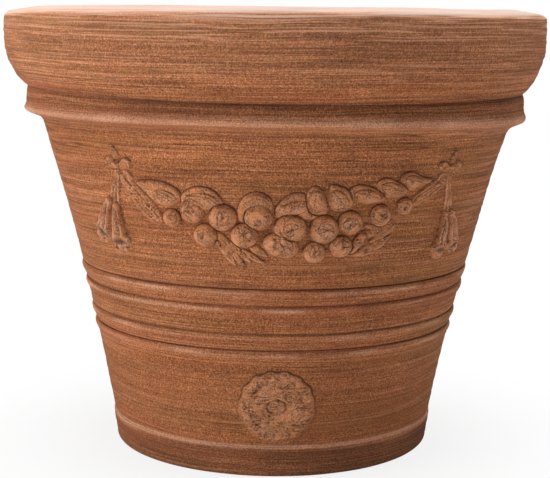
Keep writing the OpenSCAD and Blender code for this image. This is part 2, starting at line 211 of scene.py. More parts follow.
def clay_noises(tree):
    """The noises and the marks that the clay's colour and relief are made from."""
    place = add_node(tree, "ShaderNodeTexCoord").outputs["Object"]
    axes = add_node(tree, "ShaderNodeSeparateXYZ", {"Vector": place}).outputs
    x, y, height = axes["X"], axes["Y"], axes["Z"]
    radius = maths(tree, "SQRT", maths(tree, "ADD", times(tree, x, x), times(tree, y, y)))

    def cloud(scale, detail, rough=0.5, distortion=0.0):
        return add_node(tree, "ShaderNodeTexNoise", {
            "Vector": place, "Scale": scale, "Detail": detail, "Roughness": rough,
            "Distortion": distortion}).outputs["Fac"]

    wander = spread(tree, cloud(5, 2), 0.3, 0.7, -WANDER, WANDER)
    level = add_node(tree, "ShaderNodeCombineXYZ", {
        "X": x, "Y": y, "Z": maths(tree, "ADD", height, wander)}).outputs["Vector"]

    def streaks(along, across, detail, rough):
        """Noise drawn out level round the pot, with so many marks to the metre along it and across it."""
        stretched = add_node(tree, "ShaderNodeMapping", {"Vector": level, "Scale": (along, along, across)})
        return add_node(tree, "ShaderNodeTexNoise", {
            "Vector": stretched.outputs["Vector"], "W": times(tree, radius, across), "Scale": 1.0,
            "Detail": detail, "Roughness": rough}, noise_dimensions="4D").outputs["Fac"]

    skin = marked(tree, "skin")
    winding = cloud(300, 1, 0.5, 1.2)
    beside = maths(tree, "SUBTRACT", winding, 0.08)
    creased = times(tree, spread(tree, cloud(130, 1), 0.40, 0.56), skin)
    broken = spread(tree, streaks(12, 90, 2, 0.6), 0.46, 0.58)
    return SimpleNamespace(
        height=height,
        hairs=streaks(8, 820, 2, 0.6),
        furrows=streaks(3, 280, 3, 0.65),
        bands=streaks(2.5, 55, 3, 0.6),
        hues=streaks(2.5, 34, 3, 0.65),
        strokes=times(tree, thin_lines(tree, streaks(2, 260, 1, 0.5), 0.016), broken),
        patches=cloud(9, 4, 0.6),
        blotches=cloud(60, 4, 0.65),
        grit=cloud(820, 1, 0.7),
        pits=cloud(430, 2, 0.6),
        skin=skin,
        creases=times(tree, thin_lines(tree, winding, 0.045), creased),
        crests=times(tree, thin_lines(tree, beside, 0.035), creased))


# %% Coats of colour
def bare_clay(tree, noise):
    """The clay's own colour, grain by grain, shaded by the brush and by pits."""
    colour = ramp(tree, noise.grit, [(0.27, CLAY_DARK), (0.48, CLAY_MID), (0.71, CLAY_PALE)])
    brushing = maths(tree, "MAXIMUM", spread(tree, noise.height, *BRUSHED_WALL, 0.55, 1.0),
                     spread(tree, noise.height, *SLAB_EDGE))
    pitting = spread(tree, noise.height, *ROLL_FACE, 0.35, 1.0)
    # Each shading: its noise, its darkest and palest shade, how far from the middle they lie, and how much
    for value, low, high, reach, amount in (
            (noise.hairs, 0.74, 1.22, 0.08, brushing),
            (noise.furrows, 0.90, 1.07, 0.10, brushing),
            (noise.bands, 0.92, 1.07, 0.16, brushing),
            (noise.blotches, 0.91, 1.09, 0.16, 1.0),
            (noise.pits, 0.82, 1.18, 0.10, pitting)):
        shade = ramp(tree, value, [(0.5 - reach, grey(low)), (0.5, grey(1.0)), (0.5 + reach, grey(high))])
        colour = mix_colours(tree, "MULTIPLY", amount, colour, shade)
    return colour


def slip_coats(tree, noise):
    """What the slip brush and the mould leave, as (amount, colour) from the first coat to the last."""
    stroked = times(tree, spread(tree, noise.height, *OVER_FESTOON, 0.15, 0.68),
                    spread(tree, noise.height, *UNDER_ROLL, 1.0, 0.4))
    combed = times(tree, spread(tree, noise.bands, 0.42, 0.60, 0.15, 1),
                   spread(tree, noise.hairs, 0.51, 0.58))
    return [
        (spread(tree, noise.hues, 0.52, 0.66, 0, 0.34), CLAY_RED),
        (spread(tree, noise.hues, 0.48, 0.34, 0, 0.38), CLAY_OCHRE),
        (spread(tree, noise.patches, 0.52, 0.74, 0, 0.22), CLAY_RED),
        (times(tree, noise.strokes, stroked), SHADE_AND_DIRT),
        (times(tree, noise.skin, spread(tree, noise.blotches, 0.35, 0.65, 0.34, 0.68)), SKIN),
        (times(tree, noise.crests, 0.55), DUST_AND_HIGHLIGHT),
        (times(tree, combed, spread(tree, noise.height, *ROLL_UPPER, 0.15, 0.46)), DUST_AND_HIGHLIGHT),
        (spread(tree, noise.height, *WHOLE_ROLL, 0, 0.10), DUST_AND_HIGHLIGHT)]


def dust_dirt_and_painted_light(tree, noise):
    """Dust and grime, with painted shade and highlight, as (amount, colour) from the first coat to the last.
    """
    geometry = add_node(tree, "ShaderNodeNewGeometry").outputs
    proud = geometry["Pointiness"]
    upward = add_node(tree, "ShaderNodeSeparateXYZ", {"Vector": geometry["Normal"]}).outputs["Z"]
    ragged = maths(tree, "ADD", upward, spread(tree, noise.furrows, 0.4, 0.6, -0.28, 0.28))
    # The rim's up-facing top is painted pale: dust and bloom, with a painted highlight
    near_top = spread(tree, noise.height, *RIM_TOP)
    top_dust_and_highlight = times(tree, spread(tree, ragged, 0.25, 0.60), near_top)
    top_bloom_and_highlight = times(tree, spread(tree, ragged, 0.55, 0.85), near_top)
    # Pale worn clay and painted highlight, as marked on the points
    worn = times(tree, marked(tree, "wear_and_highlight"), spread(tree, noise.grit, 0.35, 0.60, 0.35, 0.85))
    damp = times(tree, spread(tree, noise.height, *DAMP_FOOT, 0, 0.50),
                 spread(tree, noise.patches, 0.30, 0.65, 0.45, 1.0))
    return [
        (spread(tree, proud, 0.51, 0.60, 0, 0.25), DUST_AND_HIGHLIGHT),
        (worn, DUST_AND_HIGHLIGHT),
        (times(tree, top_dust_and_highlight, 0.60), DUST_AND_HIGHLIGHT),
        (times(tree, top_bloom_and_highlight, 0.85), BLOOM_AND_HIGHLIGHT),
        # Painted shade: hollows, where pointiness is low, are darkened
        (spread(tree, proud, 0.485, 0.41, 0, 0.5), SHADE_AND_DIRT),
        (times(tree, noise.creases, 0.8), SHADE_AND_DIRT),
        (damp, DAMP),
        # Dirt in the joints and painted shade in creases, hollows and gaps, as marked on the points
        (times(tree, marked(tree, "joint"), 0.85), SHADE_AND_DIRT)]


# %% Clay material
def fired_clay(name, streak_depth, grit_depth):
    """Terracotta with strokes and grit of these depths, in metres."""
    material = bpy.data.materials.new(name)
    material.use_nodes = True
    tree = material.node_tree
    surface = tree.nodes["Principled BSDF"]
    noise = clay_noises(tree)
    colour = bare_clay(tree, noise)
    for amount, coat in slip_coats(tree, noise) + dust_dirt_and_painted_light(tree, noise):
        colour = mix_colours(tree, "MIX", amount, colour, coat)
    tree.links.new(colour, surface.inputs["Base Color"])
    tree.links.new(spread(tree, noise.blotches, 0.3, 0.7, 0.82, 0.95), surface.inputs["Roughness"])
    surface.inputs["Specular IOR Level"].default_value = 0.25

    ridges = maths(tree, "ADD", times(tree, noise.hairs, 0.6), times(tree, noise.furrows, 0.5))
    ridges = maths(tree, "SUBTRACT", ridges, times(tree, noise.strokes, 0.35))
    grain = maths(tree, "SUBTRACT", noise.grit, times(tree, noise.creases, 0.6))
    relief = add_node(tree, "ShaderNodeBump", {"Height": ridges, "Distance": streak_depth, "Strength": 1.0})
    relief = add_node(tree, "ShaderNodeBump", {"Height": grain, "Distance": grit_depth, "Strength": 1.0,
                                               "Normal": relief.outputs["Normal"]})
    tree.links.new(relief.outputs["Normal"], surface.inputs["Normal"])
    print(name, len(tree.nodes), "nodes")
    return material


VESSEL_CLAY = fired_clay("brushed_terracotta", streak_depth=0.0015, grit_depth=0.0004)
SPRIG_CLAY = fired_clay("pressed_terracotta", streak_depth=0.0003, grit_depth=0.0011)

# %% [markdown]
# ## The pot's outline, in millimetres
#
# The outlines repeat the CAD model's own sizes, because each ring that is modelled here has to lie where
# its solid lies. Each outline is a list of (radius, height), and points are added along it until they are
# close enough to carry the marks of the brush.

# %% Outline of the wall
SLAB_T = 28
LOWER_WALL_H = 88
PAIR_PITCH = 15
BELT_PITCH = 25
UPPER_WALL_H = 129
BAND_H = 29
ROLL_H = 76
GROOVES = tuple(itertools.accumulate((SLAB_T + LOWER_WALL_H, PAIR_PITCH, BELT_PITCH, PAIR_PITCH)))
BAND_Z = GROOVES[-1] + UPPER_WALL_H
ROLL_Z = BAND_Z + BAND_H
POT_H = ROLL_Z + ROLL_H
RIM_R = 250
LIP_W = 38
MOUTH_R = RIM_R - LIP_W
RIM_OVERHANG = 34.8
WALL_FOOT_R = 150
WALL_NECK_R = RIM_R - RIM_OVERHANG
WALL_HOLLOW = 3.8
FOOT_WALL_T = 24
FLOOR_IN_R = WALL_FOOT_R - FOOT_WALL_T
GROOVE_W = 1.8
GROOVE_D = 2.2
BEAD_LAND = 1.2
BEAD_W = PAIR_PITCH - GROOVE_W - BEAD_LAND
BEAD_PROUD = 1.6
SCARF_DROP = 6
SLIP_GAP = 0.3
FINE = 1.4
COARSE = 7
print("grooves at", GROOVES, "mm, band at", BAND_Z, "mm, roll at", ROLL_Z, "mm")


def wall_r(z):
    """Outer radius of the plain wall."""
    t = (z - SLAB_T) / (BAND_Z - SLAB_T)
    return WALL_FOOT_R + (WALL_NECK_R - WALL_FOOT_R) * t - 4 * WALL_HOLLOW * t * (1 - t)


def inside_r(z):
    """Radius of the inside of the pot."""
    return FLOOR_IN_R + (MOUTH_R - FLOOR_IN_R) * (z - SLAB_T) / (POT_H - SLAB_T)


def unit(turn):
    """The direction at this angle in degrees, as (along, up)."""
    return np.array((math.cos(math.radians(turn)), math.sin(math.radians(turn))))


def arc(centre, radius, start, end, count=12):
    """Points of an arc, from one angle to another in degrees."""
    angles = np.radians(np.linspace(start, end, count + 1))
    return [(centre[0] + radius * math.cos(a), centre[1] + radius * math.sin(a)) for a in angles]


def finer(outline, step):
    """The same outline with points at most one step apart."""
    points = [outline[0]]
    for start, end in zip(outline, outline[1:]):
        count = max(1, math.ceil(math.dist(start, end) / step))
        points += [tuple(np.array(start) + (np.array(end) - start) * k / count) for k in range(1, count + 1)]
    return points


def softened(outline, passes):
    """The same outline with its corners rounded, and its two ends left where they are."""
    points = np.array(outline, float)
    for _ in range(passes):
        points[1:-1] = points[1:-1] / 2 + (points[:-2] + points[2:]) / 4
    return [tuple(p) for p in points]


def wall_line(low, high):
    """The plain wall between two heights."""
    return [(wall_r(z), z) for z in np.arange(low, high, FINE)]


def bead_line(top):
    """A bead under a groove: it swells slowly and rolls quickly into the groove."""
    line = []
    for q in np.linspace(0, 1, 13):
        z = top - BEAD_W * (1 - q)
        line.append((wall_r(z) + BEAD_PROUD * math.sin(math.pi * q ** 1.7), z))
    return line


def groove(z):
    """The bottom of a groove."""
    return (wall_r(z) - GROOVE_D, z)


def scarf(z):
    """The inner end of a joint between two rings of wall, which slopes down towards the inside."""
    return (inside_r(z - SCARF_DROP), z - SCARF_DROP)


SEAM_LOW = GROOVES[0] + GROOVE_W / 2
SEAM_HIGH = GROOVES[3] + GROOVE_W / 2

# %% [markdown]
# ## What hands and brushes do to clay
#
# A hand-built pot is never exactly round. The clay sags and drifts by a millimetre over a hand's width, and
# the brush cuts level furrows. These marks could be modelled as a Displace modifier on each piece, but
# then two rings would part at their joint. So one field of small moves fills the space round the pot, and
# every ring is moved by the same field: what touches before still touches after.

# %% Field of small moves
def drift(points, size, seed):
    """Smooth random values from -1 to 1 at points in millimetres, changing over about one size."""
    lattice = np.random.default_rng(seed).uniform(-1, 1, (32, 32, 32))
    places = points / np.array(size, float)
    cell = np.floor(places).astype(int)
    part = places - cell
    part = part * part * (3 - 2 * part)
    total = np.zeros(len(points))
    for corner in itertools.product((0, 1), repeat=3):
        weight = np.prod(np.where(corner, part, 1 - part), axis=1)
        i, j, k = ((cell + corner) % 32).T
        total += weight * lattice[i, j, k]
    return total


def ease(value, low, high):
    """0 below low, 1 above high, and smooth between them."""
    t = np.clip((value - low) / (high - low), 0, 1)
    return t * t * (3 - 2 * t)


def ridge(value, middle, width, power=2):
    """1 at the middle value, falling smoothly to nearly 0 about two widths away."""
    return np.exp(-((value - middle) / width) ** power)


# Each wander of the wall, in or out: how far, over what size in x, y and z, and the seed of its noise
WANDERS = [
    (0.9, 130, 1),
    (0.32, (60, 60, 3.4), 2),
    (0.20, (24, 24, 2.0), 3),
]
INSIDE_WANDER = 0.7
ROLL_DRAWN_IN = 1.9
RIM_SETTLED = 1.4
SWAY = 1.2
# How far the band and the roll rise, in millimetres, at each of these heights
LEVELS = (262, 300, 316, 329, 352)
LEFT_RISE = (0, 2, 1, 4, 0)
FRONT_RISE = (0, 1.5, 1.5, -1.5, 0)
RIGHT_RISE = (0, -6, -3.5, 0.5, 0)
# Each dent in the roll: degrees round from the front, height, half length, half height, depth
DENTS = [
    (-50, 375, 9, 2.5, 1.6),
    (-46, 381, 5, 2, 1.1),
    (-24, 352, 16, 2.2, 0.8),
    (31, 384, 12, 2.4, 0.9),
    (48, 361, 8, 2.5, 1.0),
    (120, 370, 10, 3, 1.2),
    (-140, 360, 12, 3, 1.0),
]


def drawn_band(x, z, radius):
    """How far the hand that laid the band and the roll strayed up or down, by height and by side."""
    side = x / np.maximum(radius, 1)
    front, left, right = (np.interp(z, LEVELS, rise) for rise in (FRONT_RISE, LEFT_RISE, RIGHT_RISE))
    return front + side ** 2 * (np.where(side < 0, left, right) - front)


def hand_made(points):
    """The points, in millimetres, moved as the potter's hand and brush leave them."""
    x, y, z = points.T
    radius = np.hypot(x, y)
    outside = ease(radius - wall_r(np.clip(z, SLAB_T, BAND_Z)), -12, -6)
    out = sum(depth * drift(points, size, seed) for depth, size, seed in WANDERS)
    out += (1 - outside) * INSIDE_WANDER * drift(points, (160, 160, 9), 4)
    at_rim = ease(z, ROLL_Z, ROLL_Z + 21)
    out = out * (1 + 0.5 * at_rim) - ROLL_DRAWN_IN * at_rim * outside
    for turn, height, half_l, half_h, depth in DENTS:
        round_by = (np.arctan2(x, -y) - math.radians(turn)) * radius
        out -= depth * outside * np.exp(-(round_by / half_l) ** 2 - ((z - height) / half_h) ** 2)
    rings = np.stack([x, y, radius], axis=1)
    up = 1.2 * drift(points, 100, 5) + 0.22 * drift(rings, (50, 50, 3.4), 6) - RIM_SETTLED
    up = up * ease(z, 360, 395) + outside * drawn_band(x, z, radius)
    scale = (radius + out) / np.maximum(radius, 1e-6)
    return np.stack([x * scale + SWAY * ridge(z, 180, 80), y * scale, z + up], axis=1)


# %% [markdown]
# ## The rings of the pot
#
# Each ring could be made with the Spin tool in edit mode, or with a Screw modifier, whose steps can still be
# changed while it is tried out. Here the section is laid out as a closed loop of points from a circle, and
# a Screw modifier with no rise turns it once round the pot's axis. The field of small moves shapes it later.

# %% Spin a section and shape it
TURN_STEPS = 384
FESTOON_TURN_STEPS = 640


def deselect():
    """Nothing selected, so that the next operator acts on its own piece alone."""
    bpy.ops.object.select_all(action="DESELECT")


def pick(piece):
    """The piece alone selected, and active."""
    deselect()
    piece.select_set(True)
    bpy.context.view_layer.objects.active = piece


def get_points(piece):
    """The piece's points in millimetres."""
    flat = np.empty(len(piece.data.vertices) * 3)
    piece.data.vertices.foreach_get("co", flat)
    return flat.reshape(-1, 3) * 1000


def set_points(piece, points):
    """Moves the piece's points to these places in millimetres."""
    piece.data.vertices.foreach_set("co", (points / 1000).ravel())
    piece.data.update()


def set_mark(piece, name, values):
    """Marks points from 0 to 1: grime and painted shade, pale worn clay and painted highlight, moulded skin.
    """
    mark = piece.data.attributes.new(name, "FLOAT", "POINT")
    mark.data.foreach_set("value", np.clip(values, 0, 1))


def finish_piece(piece, material):
    """Smooth shading, its clay, and its place on the pot's one body."""
    pick(piece)
    bpy.ops.object.shade_smooth()
    piece.data.materials.clear()
    piece.data.materials.append(material)
    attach(piece, "root")
    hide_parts(piece.name.removesuffix("_clay"))
    print(piece.name, len(piece.data.polygons), "faces")


def spun(name, section, steps=TURN_STEPS):
    """A closed section of (radius, height) points, turned once round the pot's axis."""
    deselect()
    bpy.ops.mesh.primitive_circle_add(vertices=len(section), radius=0.01, fill_type="NOTHING")
    ring = bpy.context.object
    ring.name = name + "_clay"
    set_points(ring, np.array([(0, -radius, height) for radius, height in section]))
    bpy.ops.object.modifier_add(type="SCREW")
    screw = ring.modifiers[0]
    screw.steps = screw.render_steps = steps
    screw.use_merge_vertices = True
    screw.merge_threshold = 0.00001
    bpy.ops.object.modifier_apply(modifier=screw.name)
    bpy.ops.object.mode_set(mode="EDIT")
    bpy.ops.mesh.select_all(action="SELECT")
    bpy.ops.mesh.normals_make_consistent(inside=False)
    bpy.ops.object.mode_set(mode="OBJECT")
    return ring


# %% Base slab
SLAB_STEP = 1.2
SLAB_BEVEL = 1.2
SLAB_DRAW = 3.5
FOOT_ROUND = 4
DRAIN_R = 15
DRAIN_BEVEL = 2
STEP_R = WALL_FOOT_R + SLAB_STEP
low_r = STEP_R - SLAB_DRAW
slab_edge = (arc((low_r - FOOT_ROUND, FOOT_ROUND), FOOT_ROUND, -90, 0, 8)
             + [(STEP_R, SLAB_T - SLAB_BEVEL), (WALL_FOOT_R, SLAB_T)])
slab_top = finer([(WALL_FOOT_R - 2, SLAB_T), (DRAIN_R, SLAB_T)], COARSE)[:-1]
drain = [(DRAIN_R + DRAIN_BEVEL, SLAB_T), (DRAIN_R, SLAB_T - DRAIN_BEVEL),
         (DRAIN_R, DRAIN_BEVEL), (DRAIN_R + DRAIN_BEVEL, 0)]
slab_under = finer([(DRAIN_R + 5, 0), (low_r - 9, 0)], COARSE)
slab_section = softened(finer(slab_edge, FINE), 2) + slab_top + softened(finer(drain, 2.5), 1) + slab_under
base_slab = spun("base_slab", slab_section)

# %% Lower ring of wall
FILLET_R = 12
fillet_z = SLAB_T + FILLET_R
lower_outer = wall_line(SLAB_T, GROOVES[0] - BEAD_W) + bead_line(GROOVES[0]) + [groove(SEAM_LOW)]
lower_inner = [scarf(SEAM_LOW)] + arc((inside_r(fillet_z) - FILLET_R, fillet_z), FILLET_R, 0, -90)
lower_section = softened(finer(lower_outer, FINE), 2) + finer(lower_inner, COARSE)
lower_wall = spun("lower_wall", lower_section)

# %% Belt of beads
belt_outer = [groove(SEAM_LOW)]
for low, top in zip(GROOVES, GROOVES[1:]):
    belt_outer += wall_line(low + GROOVE_W, top - BEAD_W) + bead_line(top)
    belt_outer += [groove(top + GROOVE_W / 2)]
belt_section = softened(finer(belt_outer, FINE), 2) + finer([scarf(SEAM_HIGH), scarf(SEAM_LOW)], COARSE)
belt_wall = spun("belt_wall", belt_section)

# %% Upper ring of wall
BEHIND_BAND = 10
upper_outer = [groove(SEAM_HIGH)] + wall_line(GROOVES[3] + GROOVE_W, BAND_Z + BEHIND_BAND)
upper_hidden = [(wall_r(z), z) for z in np.linspace(BAND_Z + BEHIND_BAND + 2, ROLL_Z, 5)]
upper_inner = finer([(inside_r(ROLL_Z), ROLL_Z), scarf(SEAM_HIGH)], COARSE)
upper_section = softened(finer(upper_outer, 1.1 * FINE), 1) + upper_hidden + upper_inner
upper_wall = spun("upper_wall", upper_section, FESTOON_TURN_STEPS)

# %% Neck band
BAND_LIP_H = 16
BAND_PROUD = 12
LIP_Z = BAND_Z + BAND_LIP_H
LIP_R = wall_r(LIP_Z) + BAND_PROUD
LIP_ROUND = 4
COVE_R = 9
UNDERCUT_TURN = 22
BAND_LEAN = 2.5
CREASE_H = 3
CREASE_D = 1
band_low = np.array([wall_r(BAND_Z) + SLIP_GAP, BAND_Z])
cove_centre = band_low - COVE_R * unit(180 - UNDERCUT_TURN)
cove = arc(cove_centre, COVE_R, 180 - UNDERCUT_TURN, 90 + UNDERCUT_TURN, 8)
lip = arc((LIP_R - LIP_ROUND, LIP_Z - LIP_ROUND), LIP_ROUND, UNDERCUT_TURN - 90, 60, 10)
crease = [(LIP_R - BAND_LEAN, ROLL_Z - CREASE_H), (LIP_R - (BAND_LEAN + CREASE_D), ROLL_Z)]
band_hidden = [(wall_r(z) + SLIP_GAP, z) for z in np.linspace(ROLL_Z, BAND_Z + 6, 6)]
band_section = softened(finer([tuple(band_low)] + cove + lip + crease, 1.0), 2) + band_hidden
neck_band = spun("neck_band", band_section)

# %% Rolled rim
ROLL_FACE_H = 18
ROLL_EDGE_R = 8
MOUTH_EDGE_R = 10
CROWN_DROP = 3
ROLL_DRAW = 21.6
edge_z = POT_H - CROWN_DROP - ROLL_EDGE_R
face_z = edge_z - ROLL_FACE_H
mouth_z = POT_H - MOUTH_EDGE_R
roll_r = ((face_z - ROLL_Z) ** 2 + ROLL_DRAW ** 2) / (2 * ROLL_DRAW)
swell = math.degrees(math.asin((face_z - ROLL_Z) / roll_r))
rim_outer = (arc((RIM_R - roll_r, face_z), roll_r, -swell, 0, 20)
             + arc((RIM_R - ROLL_EDGE_R, edge_z), ROLL_EDGE_R, 0, 70, 10)
             + arc((MOUTH_R + MOUTH_EDGE_R, mouth_z), MOUTH_EDGE_R, 90, 180, 12)
             + [(inside_r(mouth_z), mouth_z - 1)])
rim_under = finer([(inside_r(ROLL_Z), ROLL_Z), rim_outer[0]], COARSE)[:-1]
rim_inner = finer([rim_outer[-1], rim_under[0]], 3)[1:-1]
rim_roll = spun("rim_roll", softened(finer(rim_outer, FINE), 2) + rim_inner + rim_under)

# %% [markdown]
# ## Where the moulded pieces sit
#
# A moulded piece is shaped flat: u runs along the wall, v runs up it and w stands out from it. Wrapping
# could be done with a Shrinkwrap modifier, but the wall is a known curve, so a few lines bend the flat
# piece round it exactly, and the piece keeps its size.

# %% From the mould to the wall
FESTOON_DROP = 74
FESTOON_Z = BAND_Z - FESTOON_DROP


def on_wall(flat):
    """Points (along, up, out), in millimetres from the middle of the festoon, placed on the wall."""
    along, up, out = flat.T
    z = FESTOON_Z + up
    radius = wall_r(z)
    angle = along / radius - math.pi / 2
    return np.stack([(radius + out) * np.cos(angle), (radius + out) * np.sin(angle), z], axis=1)


def pressed_ball(name, around, rings):
    """A ball of clay of radius 1 with its back cut flat, as it goes into the mould."""
    deselect()
    bpy.ops.mesh.primitive_uv_sphere_add(segments=around, ring_count=rings, radius=1)
    ball = bpy.context.object
    ball.name = name + "_clay"
    bpy.ops.object.mode_set(mode="EDIT")
    bpy.ops.mesh.select_all(action="SELECT")
    bpy.ops.mesh.bisect(plane_co=(0, 0, -0.02), plane_no=(0, 0, 1), clear_inner=True, use_fill=True)
    bpy.ops.object.mode_set(mode="OBJECT")
    return ball


def polar(ball):
    """For each point of a pressed ball: its share of the way to the edge, its angle and its rise."""
    x, y, z = (get_points(ball) / 1000).T
    share = 1 - np.arcsin(np.clip(z, 0, 1)) * 2 / math.pi
    return share, np.arctan2(y, x), z


def both_sides(piece):
    """Adds the same piece again on the back of the pot, where the same moulds were used."""
    pick(piece)
    bpy.ops.object.duplicate()
    bpy.ops.transform.rotate(value=math.pi, orient_axis="Z", center_override=(0, 0, 0))
    bpy.ops.object.transform_apply(location=True, rotation=True, scale=True)
    piece.select_set(True)
    bpy.context.view_layer.objects.active = piece
    bpy.ops.object.join()
    piece.data.update()


# %% [markdown]
# ## Heights of the moulded shapes
#
# A mould for a sprig is cut by eye from a few rounded hollows: an oval for a fruit, a cut outline for a
# leaf and long hollows for a stem. The shapes here are made the same way, as heights over the flat wall.
# They could be sculpted one by one, but heights can be merged: where two lumps meet, the larger one wins
# and the valley between them is filled a little, as wet clay fills it under a thumb.

# %% Lumps, cords and cut outlines
FAR_OFF = -99.0
CURVE_STEPS = 6


def turned(u, v, place, turn):
    """The same points measured from a place: along this direction in degrees, and across it."""
    c, s = unit(turn)
    return (u - place[0]) * c + (v - place[1]) * s, (v - place[1]) * c - (u - place[0]) * s


def oval(u, v, place, turn, half_l, half_w):
    """For each point: its share of the way from the middle of an oval to its edge."""
    along, across = turned(u, v, place, turn)
    return np.sqrt((along / half_l) ** 2 + (across / half_w) ** 2)


def lump(u, v, place, turn, half_l, half_w, height, flat=2.0):
    """Height of a rounded lump over an oval. Outside the oval it falls away below the wall."""
    share = oval(u, v, place, turn, half_l, half_w)
    inside = height * (1 - np.minimum(share, 1) ** flat) ** 0.55
    return np.where(share < 1, inside, (1 - share) * min(half_l, half_w))


def to_segment(u, v, start, end):
    """For each point: its share of the way along a straight line, and its distance from that line."""
    du, dv = end[0] - start[0], end[1] - start[1]
    t = np.clip(((u - start[0]) * du + (v - start[1]) * dv) / (du * du + dv * dv), 0, 1)
    return t, np.hypot(u - start[0] - t * du, v - start[1] - t * dv)


def path_share(u, v, path):
    """For each point: how far it lies from a path of (u, v, half width), as a share of the half width."""
    best, widest = np.full(len(u), 99.0), np.ones(len(u))
    for start, end in zip(path, path[1:]):
        t, distance = to_segment(u, v, start, end)
        width = start[2] + (end[2] - start[2]) * t
        share = distance / width
        widest = np.where(share < best, width, widest)
        best = np.minimum(best, share)
    return best, widest


def cord(u, v, path, height):
    """Height of a round cord along a path of (u, v, half width)."""
    share, width = path_share(u, v, path)
    return np.where(share < 1, height * np.sqrt(1 - np.minimum(share, 1) ** 2), (1 - share) * width)


def drawn_lines(u, v, paths):
    """1 on any of these lines of (u, v, half width), fading to 0 beside them."""
    drawn = np.zeros(len(u))
    for path in paths:
        drawn = np.maximum(drawn, np.exp(-path_share(u, v, path)[0] ** 2))
    return drawn


def closed_curve(points):
    """A smooth closed line through the points."""
    here = np.array(points, float)
    before, after, beyond = (np.roll(here, shift, axis=0) for shift in (1, -1, -2))
    steps = []
    for t in np.arange(CURVE_STEPS) / CURVE_STEPS:
        steps.append(here + (after - before) * t / 2 + (before - 2.5 * here + 2 * after - beyond / 2) * t ** 2
                     + (1.5 * here - before / 2 - 1.5 * after + beyond / 2) * t ** 3)
    return np.stack(steps, axis=1).reshape(-1, 2)


def inside_line(u, v, line):
    """For each point: its distance from a closed line in millimetres, more than 0 inside it."""
    distance = np.full(len(u), 99.0)
    inside = np.zeros(len(u), bool)
    for start, end in zip(line, np.roll(line, -1, axis=0)):
        distance = np.minimum(distance, to_segment(u, v, start, end)[1])
        (au, av), (bu, bv) = start, end
        if av != bv:
            inside ^= ((v < av) != (v < bv)) & (u < au + (v - av) * (bu - au) / (bv - av))
    return np.where(inside, distance, -distance)


def merged(first, second, softness):
    """The higher of two heights, with the valley where they meet filled by about the softness."""
    high = np.maximum(first, second)
    return high + softness * np.log(np.exp((first - high) / softness) + np.exp((second - high) / softness))


def flat_drift(u, v, size, seed):
    """Smooth random values from -1 to 1 over the flat shape."""
    return drift(np.stack([u, v, u * 0], axis=1), size, seed)


def stipple(u, v, seed):
    """The uneven skin of clay that was pressed and brushed, in millimetres."""
    places = np.stack([u, v, np.full(len(u), 50.0 * seed)], axis=1)
    return 0.30 * drift(places, 2.6, 21) + 0.24 * drift(places, 1.3, 22)


# %% [markdown]
# ## Fruit, leaves, bows and flowers
#
# Each sprig is written down once, with its place on the wall, the size of the pat of clay it is pressed
# from, its shape, the marks that are cut into it afterwards, and its layer: a piece lies on those with a
# lower layer. The list is made before any mesh, because each piece has to know its neighbours to meet them.

# %% Fruit
SPRIGS = {}
SKIRT = 4.5
CREASE_W = 0.55
EYE_W = 1.3
BELL_LAYER, LEAF_LAYER, FRUIT_LAYER = 1, 2, 20


def no_marks(u, v):
    """Nothing cut in and nothing darkened."""
    return np.zeros(len(u)), np.zeros(len(v))


def add_sprig(name, place, turn, half_l, half_w, shape, marks=no_marks, layer=BELL_LAYER):
    """Writes a sprig down: its middle, the turn and half sizes of its pat of clay, and what shapes it."""
    SPRIGS[name] = {"place": np.array(place, float), "turn": turn, "reach": (half_l + SKIRT, half_w + SKIRT),
                    "shape": shape, "marks": marks, "layer": layer}


def wrapped(angle):
    """The same angle, between minus half a turn and half a turn."""
    return (angle + math.pi) % (2 * math.pi) - math.pi


def eye_and_creases(place, half_l, half_w, seed):
    """The marks on a fruit: a faint pitted eye, and creases that wind round it."""
    draw = np.random.default_rng(seed)
    eye = np.array(place) + draw.uniform(-0.18, 0.18, 2) * half_l
    rays = [(draw.uniform(-math.pi, math.pi), draw.uniform(-1.2, 1.2), draw.uniform(0.4, 0.8))
            for _ in range(5)]
    bows = [(draw.uniform(0.35, 0.75), draw.uniform(-math.pi, math.pi), draw.uniform(0.4, 0.9))
            for _ in range(4)]

    def marks(u, v):
        away = oval(u, v, eye, 0, half_l, half_w)
        angle = np.arctan2(v - eye[1], u - eye[0])
        crease = np.zeros(len(u))
        for middle, bend, reach in rays:
            off = wrapped(angle - middle - bend * away)
            line = ridge(off * away * half_l, 0, CREASE_W) * (1 - ease(away, reach - 0.3, reach))
            crease = np.maximum(crease, line)
        for share, middle, width in bows:
            off = np.abs(wrapped(angle - middle))
            line = ridge((away - share) * half_l, 0, CREASE_W) * (1 - ease(off, width, width + 0.4))
            crease = np.maximum(crease, line)
        pit = ridge(away * half_l, 0, EYE_W)
        return -0.9 * pit - 0.7 * crease, np.maximum(0.6 * pit, 0.42 * crease)

    return marks


# Each fruit: its place along the wall and up it from the festoon's middle, half width, half height
FRUITS = [
    (-98, 5, 8, 7.8),
    (-79, 12, 10.2, 10),
    (-68, -8, 10, 9.8),
    (-53.3, 7.6, 11.5, 11.2),
    (-35.5, -6.8, 11, 10.6),
    (-24, 8.4, 11.5, 10.4),
    (2, -0.2, 13.2, 11.6),
    (29.5, -1.2, 12, 12),
    (22, -20.8, 9.2, 8.8),
    (44, -16.4, 9.6, 9.2),
    (51.5, 3.8, 10.5, 10),
    (78.6, 9, 9.5, 9.3),
    (102, 16, 7.5, 7.2),
]


def fruit_shape(place, half_l, half_w):
    """A full round fruit with a little unevenness."""
    def height(u, v):
        dome = lump(u, v, place, 0, half_l * 1.02, half_w * 1.02, 0.72 * half_w, 2.6)
        return dome + 0.25 * np.clip(dome, 0, 1) * flat_drift(u, v, 6, 24)
    return height


